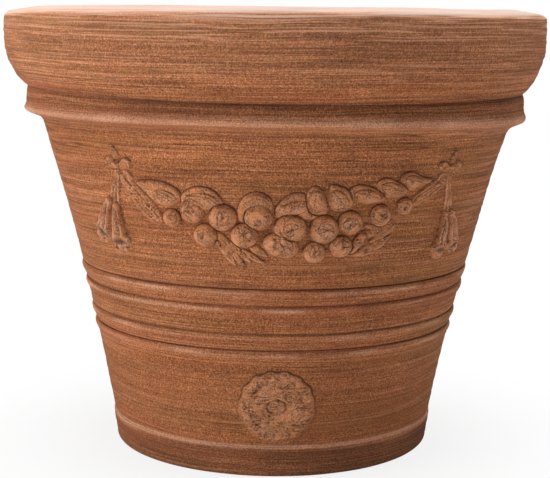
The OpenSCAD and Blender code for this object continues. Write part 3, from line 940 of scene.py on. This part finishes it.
for number, (along, up, half_l, half_w) in enumerate(FRUITS, 1):
    add_sprig(f"fruit_{number}", (along, up), 0, half_l, half_w, fruit_shape((along, up), half_l, half_w),
              eye_and_creases((along, up), half_l, half_w, 100 + number), FRUIT_LAYER)

# %% Leaves
# Each leaf: its cut outline, the place, half sizes and turn of its fuller part, its cut lines, its layer
LEAVES = [
    ([(-131.6, 33.7), (-120, 36.4), (-105.5, 35.4), (-95, 31.5), (-89.8, 26), (-91.5, 19), (-101.7, 14.5),
      (-114, 18.5), (-123, 26)], (-103, 22, 12, 5.5, -16),
     [[(-126, 29.5, 0.6), (-114, 28.6, 0.9), (-103, 26.8, 0.8), (-94, 22.5, 0.5)]], 4),
    ([(-88.9, 25.6), (-80, 31.8), (-70, 33.4), (-60.5, 30), (-53.4, 21.5), (-58, 14), (-72, 11), (-86, 16)],
     (-70, 21, 14, 6, -3),
     [[(-84, 25.2, 0.6), (-74, 26.2, 0.9), (-64, 24.6, 0.8), (-57, 20.2, 0.5)]], 4),
    ([(-41.5, 13.5), (-38.6, 22.5), (-33, 28.3), (-25.5, 30.3), (-17.8, 28), (-12.9, 21.7), (-12, 10),
      (-24, 3), (-38, 4)], (-26, 20, 11, 7, 0),
     [[(-37, 15, 0.6), (-34, 21.5, 0.9), (-27, 25.6, 0.9), (-19, 24.2, 0.8), (-15, 18.5, 0.5)]], 4),
    ([(-11, 15.8), (-5, 24), (2.8, 29.2), (11.5, 29.6), (17, 25.5), (27, 16), (29, 11), (22, 7), (5, 8),
      (-8, 9)], (5, 17, 13, 4.6, 14),
     [[(-3, 19.5, 0.6), (5, 24, 0.9), (13, 25.6, 0.6)], [(2, 18, 0.5), (9, 21.5, 0.7), (17, 21.5, 0.5)]], 3),
    ([(14, 27.7), (16.8, 33), (20.9, 35.6), (25.8, 33.4), (29.4, 27.6), (31.8, 18), (31, 12), (24, 11),
      (17.7, 13), (14.6, 20)], (23, 23, 9, 5.6, 100),
     [[(19, 15, 0.5), (21, 22, 0.8), (22, 30, 0.5)]], 6),
    ([(32.4, 31), (34.8, 36.3), (42.5, 35.2), (48.6, 31.8), (51.8, 26.6), (53.4, 20.5), (51, 15.8),
      (44, 13.6), (36, 15.5), (32.2, 22.5)], (41, 23, 10, 6, -50),
     [[(36, 31, 0.5), (41, 25, 0.9), (46, 18, 0.6)],
      [(49.5, 24, 0.5), (47.5, 19.6, 0.8), (51, 17.6, 0.5)]], 5),
    ([(50.5, 32.2), (56, 35.4), (63.2, 35.6), (72, 32.6), (81.9, 25.4), (79, 21), (70, 19.5), (61, 20.5),
      (53.5, 25)], (66, 26, 12, 4.8, -12),
     [[(54, 30, 0.5), (63, 29.2, 0.8), (74, 24.8, 0.6)]], 4),
    ([(74.6, 37.3), (80.7, 40.8), (88.5, 39.6), (97, 35.6), (103.8, 29.6), (99.5, 25), (89, 23.4), (80, 26),
      (75, 31.5)], (89, 30.5, 11.5, 5, -20),
     [[(78, 36, 0.5), (86, 34, 0.8), (97, 28.6, 0.6)]], 3),
    ([(96.7, 41.5), (102, 44.8), (108.4, 45.2), (115, 42.4), (121.5, 39.6), (129.4, 38.2), (127.5, 35),
      (118, 32.4), (109, 29.4), (101, 31), (96.4, 36)], (109, 36.6, 10, 4.6, -12),
     [[(100, 40, 0.5), (108, 38.4, 0.8), (118, 35.4, 0.6)]], 2),
]


def leaf_shape(outline, full):
    """A thin leaf cut to an outline, with a fuller part low on it."""
    line = closed_curve(outline)

    def height(u, v):
        depth = inside_line(u, v, line)
        sheet = np.where(depth > 0, 3.2 * (1 - np.exp(-np.maximum(depth, 0) / 0.9)), depth)
        swell = lump(u, v, full[:2], full[4], full[2], full[3] * 1.15, 3.2)
        return sheet + np.clip(swell, 0, 9) * ease(depth, 0, 3)
    return height


def leaf_marks(full, lines):
    """The marks on a leaf: the lines that are drawn on it, and short side veins."""
    def marks(u, v):
        drawn = drawn_lines(u, v, lines)
        along, across = turned(u, v, full[:2], full[4])
        veins = (0.5 + 0.5 * np.sin((np.abs(across) * 0.9 - along) * 2.1)) * (1 - ease(np.abs(across), 2, 7))
        return -0.6 * drawn - 0.3 * veins, 0.12 * drawn + 0.08 * veins
    return marks


for number, (outline, full, lines, layer) in enumerate(LEAVES, 1):
    middle = (np.min(outline, axis=0) + np.max(outline, axis=0)) / 2
    half_l, half_w = (np.max(outline, axis=0) - np.min(outline, axis=0)) / 2 + 1
    add_sprig(f"leaf_{number}", middle, 0, half_l, half_w, leaf_shape(outline, full), leaf_marks(full, lines),
              LEAF_LAYER + layer)

# %% Rosette and bud
ROSETTE = (-5.5, -14.8)


def rosette_height(u, v):
    """A low worn flower: faint petals round a button, on an oval base that tips down to the right."""
    level = lump(u, v, ROSETTE, -18, 15, 10.4, 7.0, 2.6)
    for turn in range(20, 380, 60):
        petal = ROSETTE + unit(turn) * (7.6, 5.4)
        level = merged(level, lump(u, v, petal, turn, 4.8, 3.4, 7.9), 0.5)
    return merged(level, lump(u, v, ROSETTE, 0, 3.2, 3.0, 8.2), 0.4)


BUD = (59.5, -12.5)


def bud_height(u, v):
    """A bud of two lobes, with a small ball beside it."""
    level = merged(lump(u, v, BUD, 60, 7, 4.4, 5.6), lump(u, v, (55.5, -19), 40, 5.5, 3, 3.8), 0.4)
    return merged(level, lump(u, v, (62.3, -8.2), 20, 4, 3, 4.6), 0.3)


add_sprig("rosette", ROSETTE, -18, 15.5, 11.5, rosette_height, eye_and_creases(ROSETTE, 13, 9, 300),
          FRUIT_LAYER)
add_sprig("bud", (59, -14), 55, 10, 6, bud_height, eye_and_creases(BUD, 6, 5, 301), FRUIT_LAYER - 2)

# %% Sprays of leaflets
SPRAY_LEFT = [
    [(-62, -3, 1.4), (-55, -9, 2.6), (-48, -17, 2.8), (-41, -26, 2.2), (-36, -32, 0.9)],
    [(-58, -13, 1.2), (-51, -21, 2.4), (-46, -28, 2.0), (-43, -32, 0.8)],
    [(-46, -14, 1.0), (-41, -19, 2.2), (-36, -24, 2.0), (-31, -29, 0.9)],
    [(-31, -15.5, 1.0), (-26, -18.5, 2.6), (-21, -21.5, 2.2), (-17, -24, 0.8)],
    [(-36, -19, 0.9), (-30, -24, 2.0), (-24, -28, 1.6), (-20, -29.5, 0.7)],
]
SPRAY_RIGHT = [
    [(52, -24, 1.0), (60, -22.5, 2.6), (69, -19, 2.8), (77, -15, 2.2), (84, -11, 0.8)],
    [(63, -25, 0.8), (72, -21, 2.2), (81, -15, 2.0), (88, -9.5, 0.8)],
    [(62, -5, 1.0), (70, -6, 2.4), (78, -5, 2.8), (85, -2, 2.0), (90, 1, 0.8)],
    [(64, 1, 0.8), (72, -0.5, 2.0), (82, 0.5, 2.2), (89, 4, 0.8)],
    [(70, -13, 0.8), (79, -9.5, 2.0), (87, -5, 1.6), (93, 0, 0.7)],
]


def spray_shape(blades):
    """Thin blades that lie beside one another, worn at their edges."""
    def height(u, v):
        level = np.full(len(u), FAR_OFF)
        for path in blades:
            share, width = path_share(u, v, [(along, up, half_w * 1.5) for along, up, half_w in path])
            blade = np.where(share < 1, 2.2 * (1 - np.minimum(share, 1) ** 2.4) ** 0.7, (1 - share) * width)
            level = np.maximum(level, blade - 0.8 * ridge(share, 1, 0.2))
        worn = 0.8 * flat_drift(u, v, 3.5, 26)
        return level + worn * ease(level, 0.1, 1.2)
    return height


def blade_marks(blades):
    """A line along the middle of each blade, and short cuts beside it."""
    def marks(u, v):
        drawn = drawn_lines(u, v, [[(along, up, 0.5) for along, up, _ in path[:-1]] for path in blades])
        cuts = (0.5 + 0.5 * np.sin((u + 0.3 * v) * 2.4)) * (1 - drawn)
        return -0.5 * drawn - 0.4 * cuts, 0.22 * drawn + 0.10 * cuts
    return marks


add_sprig("spray_left", (-40, -18), -38, 27, 15, spray_shape(SPRAY_LEFT), blade_marks(SPRAY_LEFT))
add_sprig("spray_right", (72, -10), 20, 24, 16, spray_shape(SPRAY_RIGHT), blade_marks(SPRAY_RIGHT))

# %% [markdown]
# ## The two ends of the garland
#
# Each end has a bow, a ribbon that takes the garland up to it, and two bell flowers on stems. On the pot
# these are the faintest of the sprigs: the slip brush has gone over them. The right bow is the left one
# mirrored. The rest could be mirrored too, but the real garland climbs higher at its right end, so the
# ribbon there is flatter and the flowers hang lower.

# %% Bows, ribbons, stems and bells
def bow_height(u, v):
    """Two loops with a hollow in each, a knot between them, a short tail above and one below."""
    level = lump(u, v, (-152.8, 47), 0, 4.2, 3.8, 4.0)
    for place, turn, half_l, half_w in (((-160, 48.5), 165, 7, 4.8), ((-144, 48), 10, 7.2, 4.8),
                                        ((-141.5, 38.5), -50, 6.5, 3.8)):
        hollow = ridge(oval(u, v, place, turn, half_l, half_w), 0, 0.5)
        level = merged(level, lump(u, v, place, turn, half_l, half_w, 3.4) - 2.2 * hollow, 0.9)
    tails = cord(u, v, [(-153, 50, 3.4), (-154, 55, 3.2), (-156.5, 60, 2.0)], 1.3)
    worn = 1.3 * flat_drift(u, v, 3, 27)
    level = merged(level, tails, 0.5)
    return level + worn * ease(level, 0.1, 1.2)


def ribbon_shape(path):
    """A worn flat band with two folds along it, and fine slanting grains like those of an ear."""
    (start_u, start_v, _), (end_u, end_v, _) = path[0], path[-1]
    turn = math.degrees(math.atan2(end_v - start_v, end_u - start_u))

    def height(u, v):
        share, width = path_share(u, v, path)
        band = np.where(share < 1, 1.9 * (1 - np.minimum(share, 1) ** 2.2) ** 0.9, (1 - share) * width)
        along, across = turned(u, v, path[0], turn)
        folds = 0.9 * ridge(share, 0.42, 0.12) + 0.4 * ridge(share, 0, 0.1)
        patchy = ease(flat_drift(u, v, 6, 28), -0.4, 0.6)
        grains = 0.34 * patchy * np.sin(along * 1.9 + np.abs(across) * 1.6)
        worn = 0.9 * flat_drift(u, v, 3, 25)
        return band + (grains + worn - folds) * ease(band, 0.1, 1.2)
    return height


BELL_LEN = 37
BELL_RIBS = 3


def bell_shape(top, turn, half_w):
    """A ribbed flower that flares to a lip, hanging from its stem."""
    down = unit(turn - 90)
    points = [(*(top + down * BELL_LEN * t), half_w * share)
              for t, share in ((0, 0.3), (0.5, 0.68), (0.9, 1.0))]
    foot = top + down * BELL_LEN * 0.86

    def height(u, v):
        body = cord(u, v, points, 5.6)
        along, across = turned(u, v, top, turn - 90)
        wide = half_w * (0.3 + 0.7 * np.clip(along / BELL_LEN, 0, 1))
        furrows = 1.5 * np.cos(across / wide * math.pi * BELL_RIBS) * ease(along, 2, 10)
        lip = lump(u, v, foot, turn, half_w * 1.16, half_w * 0.72, 7.2)
        return merged(body + furrows * ease(body, 0.3, 2), lip, 0.4)
    return height


def bell_mouth(top, turn, half_w):
    """The marks on a bell: its mouth's hollow, darkened as painted shade, with a seed ball in it."""
    down = unit(turn - 90)
    foot = top + down * BELL_LEN * 0.93

    def marks(u, v):
        hollow = ridge(oval(u, v, foot, turn, half_w * 0.86, half_w * 0.50), 0, 1, 4)
        seed = ridge(oval(u, v, foot + down * 2.0, turn, 3.4, 2.0), 0, 1, 4)
        below = ease(turned(u, v, foot, turn - 90)[0], -1.5, 2.5)
        return 2.0 * seed - 3.4 * hollow, hollow * (1 - below)
    return marks


def add_bell(name, top, turn, half_w):
    """Writes a bell flower down, hanging from its top at this turn."""
    top = np.array(top, float)
    middle = top + unit(turn - 90) * BELL_LEN / 2
    add_sprig(name, middle, turn - 90, BELL_LEN / 2 + 3, half_w + 2, bell_shape(top, turn, half_w),
              bell_mouth(top, turn, half_w))


def stem_shape(paths):
    """Round stems that lie beside one another."""
    def height(u, v):
        level = np.full(len(u), FAR_OFF)
        for path in paths:
            level = merged(level, cord(u, v, path, 2.2), 0.3)
        return level
    return height


add_sprig("bow_left", (-151, 48), 0, 17, 13, bow_height)
add_sprig("bow_right", (151, 48), 0, 17, 13, lambda u, v: bow_height(-u, v) * 0.75)
add_sprig("stem_left", (-155.5, 26), 78, 18, 6, stem_shape(
    [[(-154, 42, 1.4), (-158, 30, 1.6), (-164, 14, 1.7)],
     [(-152.5, 42, 1.3), (-155.5, 28, 1.5), (-159, 12, 1.6)],
     [(-151, 42, 1.3), (-152.5, 28, 1.5), (-154, 10, 1.6)]]))
add_sprig("stem_right", (153, 22), -88, 20, 5, stem_shape(
    [[(151.5, 42, 1.3), (154, 27, 1.5), (158.5, 7, 1.6)],
     [(150, 42, 1.2), (152, 25, 1.5), (154, 6, 1.5)],
     [(148.5, 41, 1.2), (149.5, 24, 1.5), (149.5, 6, 1.6)]]))
add_bell("outer_bell_left", (-164.0, 16), -23, 10.5)
add_bell("inner_bell_left", (-155.5, 12), 3, 10.5)
add_bell("outer_bell_right", (158.0, 7), 18, 8.5)
add_bell("inner_bell_right", (149.5, 6), -5, 8.5)
add_sprig("ribbon_left", (-129, 21), -45, 27, 9, ribbon_shape(
    [(-147, 37, 4), (-135, 25, 6.8), (-123, 13, 8.4), (-112, 3, 6)]))
add_sprig("ribbon_right", (133, 31), 26, 26, 9, ribbon_shape(
    [(156, 43, 3.4), (143, 35.5, 5.4), (129, 28, 6.6), (113, 20, 4.6)]))
print(len(SPRIGS), "sprigs written down")

# %% [markdown]
# ## Pressing each sprig on to the wall
#
# Every sprig starts as a ball of clay with its back cut flat. Its front is pushed to the heights of its
# shape. Round its edge it keeps a thin skirt that runs out into the wall, wide and soft below, where the
# thumb drags it down, and narrow above. A piece in a lower layer dives under the one that lies on it, and
# the upper one rests on its surface, so that the two meet in a crease. Painted shade is marked in the
# creases and hollows, most along the upper edges, the cut marks are darkened as grime and painted shade,
# and the proudest parts are painted pale, as worn clay and as a painted highlight.

# %% Press the sprigs
CREASE = 1.9
RESTS_AT = 1.4
SUNK = 2.2
TUCK = 0.9
# How a sprig is left: its unevenness, painted shade on its upper edge, pale wear and highlight where proud
CRISP = (1.0, 0.82, 0.50)
BRUSHED_OVER = (1.7, 0.45, 0.95)


def sprig_level(u, v, names):
    """The height of the highest of these sprigs at each point."""
    level = np.full(len(u), FAR_OFF)
    for name in names:
        sprig = SPRIGS[name]
        middle_u, middle_v = sprig["place"]
        near = np.flatnonzero(np.hypot(u - middle_u, v - middle_v) < max(sprig["reach"]) + 3)
        level[near] = np.maximum(level[near], sprig["shape"](u[near], v[near]))
    return level


def meeting(own, under, beside, over, upper_edge):
    """The height of a sprig that meets the wall and the sprigs under it, beside it and over it."""
    w = merged(own, np.zeros(len(own)), 1.4 - 1.15 * upper_edge)
    w = merged(w, under - RESTS_AT, 0.3)
    w = merged(w, beside, 0.3) - 1.2 * ease(beside - own, 0, 1.6)
    w -= 1.2 * ease(np.maximum(under, over) - own, 0, 1.6) * (1 - ease(own, -0.3, 0.5))
    w -= 0.8 * ridge(own, beside, 1.1) * ease(own, 0, 1)
    return w - CREASE * ease(over, -0.7, 0.5)


def set_on_wall(piece, u, v, w, tuck, rise):
    """Tucks in a pressed piece's edge, sinks its flat back in the wall and bends it round the pot."""
    w = np.where(rise < 0, -SUNK, w - TUCK * tuck)
    set_points(piece, hand_made(on_wall(np.stack([u, v, w], axis=1))))


def press(name):
    """The finished sprig, on the front and the back of the pot."""
    sprig = SPRIGS[name]
    place, layer, shape = sprig["place"], sprig["layer"], sprig["shape"]
    reach_l, reach_w = sprig["reach"]
    ball = pressed_ball(name, 128, 92)
    share, angle, rise = polar(ball)
    c, s = unit(sprig["turn"])
    along, across = share * reach_l * np.cos(angle), share * reach_w * np.sin(angle)
    u, v = place[0] + along * c - across * s, place[1] + along * s + across * c
    near = [other for other, spot in SPRIGS.items() if other != name
            and math.dist(spot["place"], place) < max(reach_l, reach_w) + max(spot["reach"])]
    under = sprig_level(u, v, [other for other in near if SPRIGS[other]["layer"] < layer])
    beside = sprig_level(u, v, [other for other in near if SPRIGS[other]["layer"] == layer])
    over = sprig_level(u, v, [other for other in near if SPRIGS[other]["layer"] > layer])
    own = shape(u, v)
    upper_edge = ease(shape(u, v - 0.7) - shape(u, v + 0.7), 0.05, 1.1)
    body = ease(own, 0.2, 1.6) * (1 - ease(np.maximum(over, beside - own), -1.0, 0.5))
    uneven, edge_shade, rub_and_highlight = BRUSHED_OVER if layer == BELL_LAYER else CRISP
    # The sprig's marks: how deep they are cut, and how much they are darkened as grime and painted shade
    cut, grime_and_shade = sprig["marks"](u, v)
    w = meeting(own, under, beside, over, upper_edge)
    w += body * (cut + uneven * stipple(u, v, len(name) + place[0]))
    set_on_wall(ball, u, v, w, ease(share, 0.86, 1.0), rise)

    # Painted shade: hollows, the valley between sprigs, the crease under an upper piece and the upper edge
    around = (shape(u - 1, v) + shape(u + 1, v) + shape(u, v - 1) + shape(u, v + 1)) / 4 - own
    valley = ridge(own, np.maximum(beside, 0), 0.75)
    halo = ridge(np.clip(-over, 0, 9), 0, 0.9) * ease(own, 0.2, 1.5)
    joint = body * (grime_and_shade + 0.4 * ease(around, 0.08, 0.5)) + valley * (0.08 + edge_shade * upper_edge)
    patchy = ease(flat_drift(u, v, 5, 45), -0.3, 0.6)
    # The proud parts, away from the upper edge, are painted pale: worn clay and painted highlight
    proud = np.maximum(ease(own, 1.5, 5), 1.4 * ease(-around, 0.1, 0.5))
    set_mark(ball, "joint", joint + 0.75 * halo)
    set_mark(ball, "skin", ease(own, -0.2, 0.8))
    set_mark(ball, "wear_and_highlight", rub_and_highlight * body * proud * (0.35 + 0.65 * patchy) * (1 - upper_edge))
    both_sides(ball)
    finish_piece(ball, SPRIG_CLAY)


for name in SPRIGS:
    press(name)

# %% [markdown]
# ## The seal
#
# A round pad is pressed on low at the front with a wooden stamp. Where a workshop would put its name, this
# one has a plain ring of beads, lines, faint petals and a button. Its lower edge is brushed into the wall.

# %% Seal
SEAL_R = 33.5
SEAL_TURN = 1.7
SEAL_UP = (SLAB_T + GROOVES[0] - BEAD_W) / 2 - FESTOON_Z
SEAL_ALONG = -math.radians(SEAL_TURN) * wall_r(SEAL_UP + FESTOON_Z)
LOBES = 15
pad = pressed_ball("seal_pad", 288, 132)
share, angle, rise = polar(pad)
worn_round = drift(np.stack([np.cos(angle), np.sin(angle), rise * 0], axis=1) * 33, 9, 41)
lobes = 0.7 * np.sin(angle * LOBES) * ease(np.sin(angle), 0, 0.6) + 0.8 * worn_round
away = share * (SEAL_R + SKIRT)
u, v = SEAL_ALONG + away * np.cos(angle), SEAL_UP + away * np.sin(angle)
inside = (SEAL_R - 0.5 + lobes) - away
upper_edge = ease(np.sin(angle), -0.3, 0.5)
thick = 1.6 + 1.4 * ease(np.sin(angle), -0.9, 0.1)
disc = np.where(inside > 0, thick * (1 - (1 - np.clip(inside / 3.5, 0, 1)) ** 2), inside)
w = merged(disc, np.zeros(len(u)), 1.5 - 1.25 * upper_edge)

# %% The stamp on the seal, and its cracks
STAMP_LINES_R = (23, 31.3)
BEADS, BEADS_R = 30, 27.5
PETALS, PETALS_R = 12, 16
RING_R = 8
BUTTON_R = 4.6
places = np.stack([u, v, np.full(len(u), 9.0)], axis=1)
clear = ease(drift(places, 11, 46), -0.35, 0.35)
beads = ridge(away, BEADS_R, 1.9, 4) * (0.5 + 0.5 * np.cos(angle * BEADS)) * clear
lines = sum(ridge(away, ring, 0.9) for ring in STAMP_LINES_R) * (0.25 + 0.75 * clear)
lines += 1.6 * ridge(away * (1 + 0.2 * np.sin(angle) ** 2), RING_R, 1.0)
button = ridge(away, 0, BUTTON_R, 6) - 0.7 * ridge(away, 0, 1.5)
petals = ridge(away, PETALS_R, 4.2, 4) * (0.5 + 0.5 * np.cos(angle * PETALS))
cracks = 1 - np.abs(drift(places, (7, 1.5, 5), 42)) / 0.30
cracks = np.clip(cracks, 0, 1) * ease(drift(places, 5, 43), -0.5, 0.3)
body = ease(inside, 0.3, 2.5)
w += body * (0.5 * beads + 0.3 * petals + 0.9 * button - 0.6 * lines - 0.9 * cracks + 1.6 * stipple(u, v, 3))
set_on_wall(pad, u, v, w, ease(share, 0.93, 1.0), rise)

# %% Dirt, painted shade and wear on the seal
# Painted shade along the seal's upper edge; its lines and cracks are darkened as grime and painted shade
edge = ridge(inside, 0, 0.8) * (0.05 + 0.95 * upper_edge)
set_mark(pad, "joint", body * (0.30 * lines + 0.5 * cracks) + edge)
rubbed_pale = 0.10 + 0.45 * ease(drift(places, (6, 1.2, 4), 44), 0, 0.4)
set_mark(pad, "wear_and_highlight", body * (1 - cracks) * (rubbed_pale + 0.2 * beads + 0.3 * button))
set_mark(pad, "skin", ease(inside, -0.5, 1.0))
finish_piece(pad, SPRIG_CLAY)

# %% [markdown]
# ## Finishing the rings
#
# The wall takes part in the joints: clay is dragged up to each sprig from below, and a painted shadow lies
# in the narrow gap above it. The beads and the foot are rubbed pale where hands and pots touch, with a
# painted highlight on them and on the band's lip, and painted shade darkens the band's face under the roll.

# %% Marks on the rings
FESTOON_REACH = 190
FESTOON_LOW = -45
FESTOON_HIGH = 66


def on_festoon(points):
    """(along, up) of points in millimetres, on whichever festoon is nearer."""
    x, y, z = points.T
    facing = np.where(y < 0, 1.0, -1.0)
    return np.arctan2(x * facing, -y * facing) * wall_r(z), z - FESTOON_Z


def pale_wear_and_highlight(points):
    """Paleness, 0 to 1: worn clay and painted highlight on beads and ledge, painted highlight on the band's
    lip.
    """
    z = points[:, 2]
    radius = np.hypot(points[:, 0], points[:, 1])
    patchy = ease(drift(points, (35, 35, 12), 51), -0.1, 0.7)
    # Beads under the grooves and the foot's ledge: worn clay with painted highlight
    wear_and_highlight = sum(ridge(z, top - 3.0, 1.5) for top in GROOVES) * (0.10 + 0.85 * patchy)
    wear_and_highlight += ridge(z, SLAB_T, 1.8) * (1.0 + 0.3 * patchy)
    # The band's lip: painted highlight
    wear_and_highlight += ridge(z, LIP_Z - 4, 3.8) * (0.60 + 0.4 * patchy)
    return wear_and_highlight * (radius > wall_r(np.minimum(z, BAND_Z)) - 3)


def dirt_and_painted_shade(points):
    """Grime in the grooves and joints, and painted shade on the band's face under the roll, from 0 to 1."""
    z = points[:, 2]
    broken = 0.55 + 0.45 * drift(points, (50, 50, 20), 52)
    grime_and_shade = sum(ridge(z, low + GROOVE_W / 2, 0.8) for low in GROOVES) * 0.75 * broken
    grime_and_shade += ridge(z, ROLL_Z, 1.8) * 0.5 * broken
    # Painted shade on the band's face under the roll, darkest at the front and the back
    frontal = ease(np.abs(points[:, 1]) / np.maximum(np.hypot(points[:, 0], points[:, 1]), 1), 0.3, 0.9)
    under_roll = ease(z, LIP_Z - 1, LIP_Z + 3) * (1 - ease(z, ROLL_Z - 2, ROLL_Z + 4))
    grime_and_shade += under_roll * (0.10 + 0.20 * frontal + 0.15 * broken)
    return grime_and_shade + ridge(z, BAND_Z + 0.5, 1.1) * 0.6 * broken


def meet_sprigs(points, grime_and_shade):
    """Drags the wall's clay up to each sprig from below, and lays painted shadow in the gap above it."""
    u, v = on_festoon(points)
    outer = np.hypot(points[:, 0], points[:, 1]) > wall_r(points[:, 2]) - 4
    close = np.flatnonzero(outer & (np.abs(u) < FESTOON_REACH) & (v > FESTOON_LOW) & (v < FESTOON_HIGH))
    u, v = u[close], v[close]
    gap = np.clip(-sprig_level(u, v, SPRIGS), 0, 99)
    above = ease(sprig_level(u, v - 1, SPRIGS) - sprig_level(u, v + 1, SPRIGS), 0.1, 1.2)
    # Painted shadow on the wall in the narrow gap above each sprig
    grime_and_shade[close] += 0.8 * ridge(gap, 0, 1.5) * above
    lift = 0.5 * ridge(gap, 0, 3.0) * (1 - above) - 0.5 * ridge(gap, 0, 1.6) * above
    points[close, :2] *= (1 + lift / np.hypot(points[close, 0], points[close, 1]))[:, None]


for ring in (base_slab, lower_wall, belt_wall, upper_wall, neck_band, rim_roll):
    points = get_points(ring)
    wear_and_highlight, grime_and_shade = pale_wear_and_highlight(points), dirt_and_painted_shade(points)
    if ring is upper_wall:
        meet_sprigs(points, grime_and_shade)
    set_points(ring, hand_made(points))
    set_mark(ring, "joint", grime_and_shade)
    set_mark(ring, "wear_and_highlight", wear_and_highlight)
    finish_piece(ring, VESSEL_CLAY)

# %% [markdown]
# ## Floor and light
#
# The photograph shows the pot cut out on white. Its rim is brightest on top, and under it the lip and the
# lower sides of the fruit are brighter than their upper sides: a large lamp hangs over the pot, and a pale
# floor throws its light back up. So the floor here is pale to the pot, and two small lamps stand low, one
# on the left and a much weaker one on the right. To the camera the floor fades to white, with a soft shadow
# near the foot. Lamps high in front would be simpler, but they would light the upper sides of the relief,
# which the photograph shows dark.

# %% Floor
FLOOR_SIZE = 12
FLOOR_GREY = 0.80
# How far from the pot's middle, in metres, the shadow on the floor begins and ends to fade
SHADOW = (0.16, 0.36)
deselect()
bpy.ops.mesh.primitive_plane_add(size=FLOOR_SIZE, location=(0, 0, 0))
floor = bpy.context.object
floor.name = "floor"
paper = bpy.data.materials.new("paper")
paper.use_nodes = True
tree = paper.node_tree
tree.nodes.clear()
matt = add_node(tree, "ShaderNodeBsdfDiffuse", {"Color": grey(FLOOR_GREY)})
lit = add_node(tree, "ShaderNodeEmission", {"Color": grey(1.0), "Strength": 1.0})
place = add_node(tree, "ShaderNodeTexCoord").outputs["Object"]
away = add_node(tree, "ShaderNodeVectorMath", {0: place}, operation="LENGTH").outputs["Value"]
fade = spread(tree, away, *SHADOW, 0.84, 1.0)
seen = add_node(tree, "ShaderNodeLightPath").outputs["Is Camera Ray"]
both = add_node(tree, "ShaderNodeMixShader", {
    0: times(tree, seen, fade), 1: matt.outputs["BSDF"], 2: lit.outputs["Emission"]})
add_node(tree, "ShaderNodeOutputMaterial", {"Surface": both.outputs["Shader"]})
floor.data.materials.append(paper)

# %% World and lamps
AIR = 0.12
world = bpy.data.worlds.new("studio")
world.use_nodes = True
tree = world.node_tree
tree.nodes.clear()
seen = add_node(tree, "ShaderNodeLightPath").outputs["Is Camera Ray"]
strength = spread(tree, seen, 0, 1, AIR, 1.0)
air = add_node(tree, "ShaderNodeBackground", {"Color": grey(1.0), "Strength": strength})
add_node(tree, "ShaderNodeOutputWorld", {"Surface": air.outputs["Background"]})
bpy.context.scene.world = world


def lamp(name, place, size, power):
    """A square lamp that faces the middle of the pot."""
    data = bpy.data.lights.new(name, "AREA")
    data.size = size
    data.energy = power
    light = bpy.data.objects.new(name, data)
    light.location = place
    light.rotation_euler = (Vector((0, 0, 0.2)) - Vector(place)).to_track_quat("-Z", "Y").to_euler()
    bpy.context.scene.collection.objects.link(light)
    print(name, "lamp:", power, "W")


lamp("key", (-2.1, -0.9, 0.35), 1.0, 30)
lamp("fill", (1.8, -1.6, 0.4), 1.6, 4)
lamp("top", (0.0, 0.1, 2.6), 2.6, 105)
bpy.context.scene.view_settings.view_transform = "Standard"
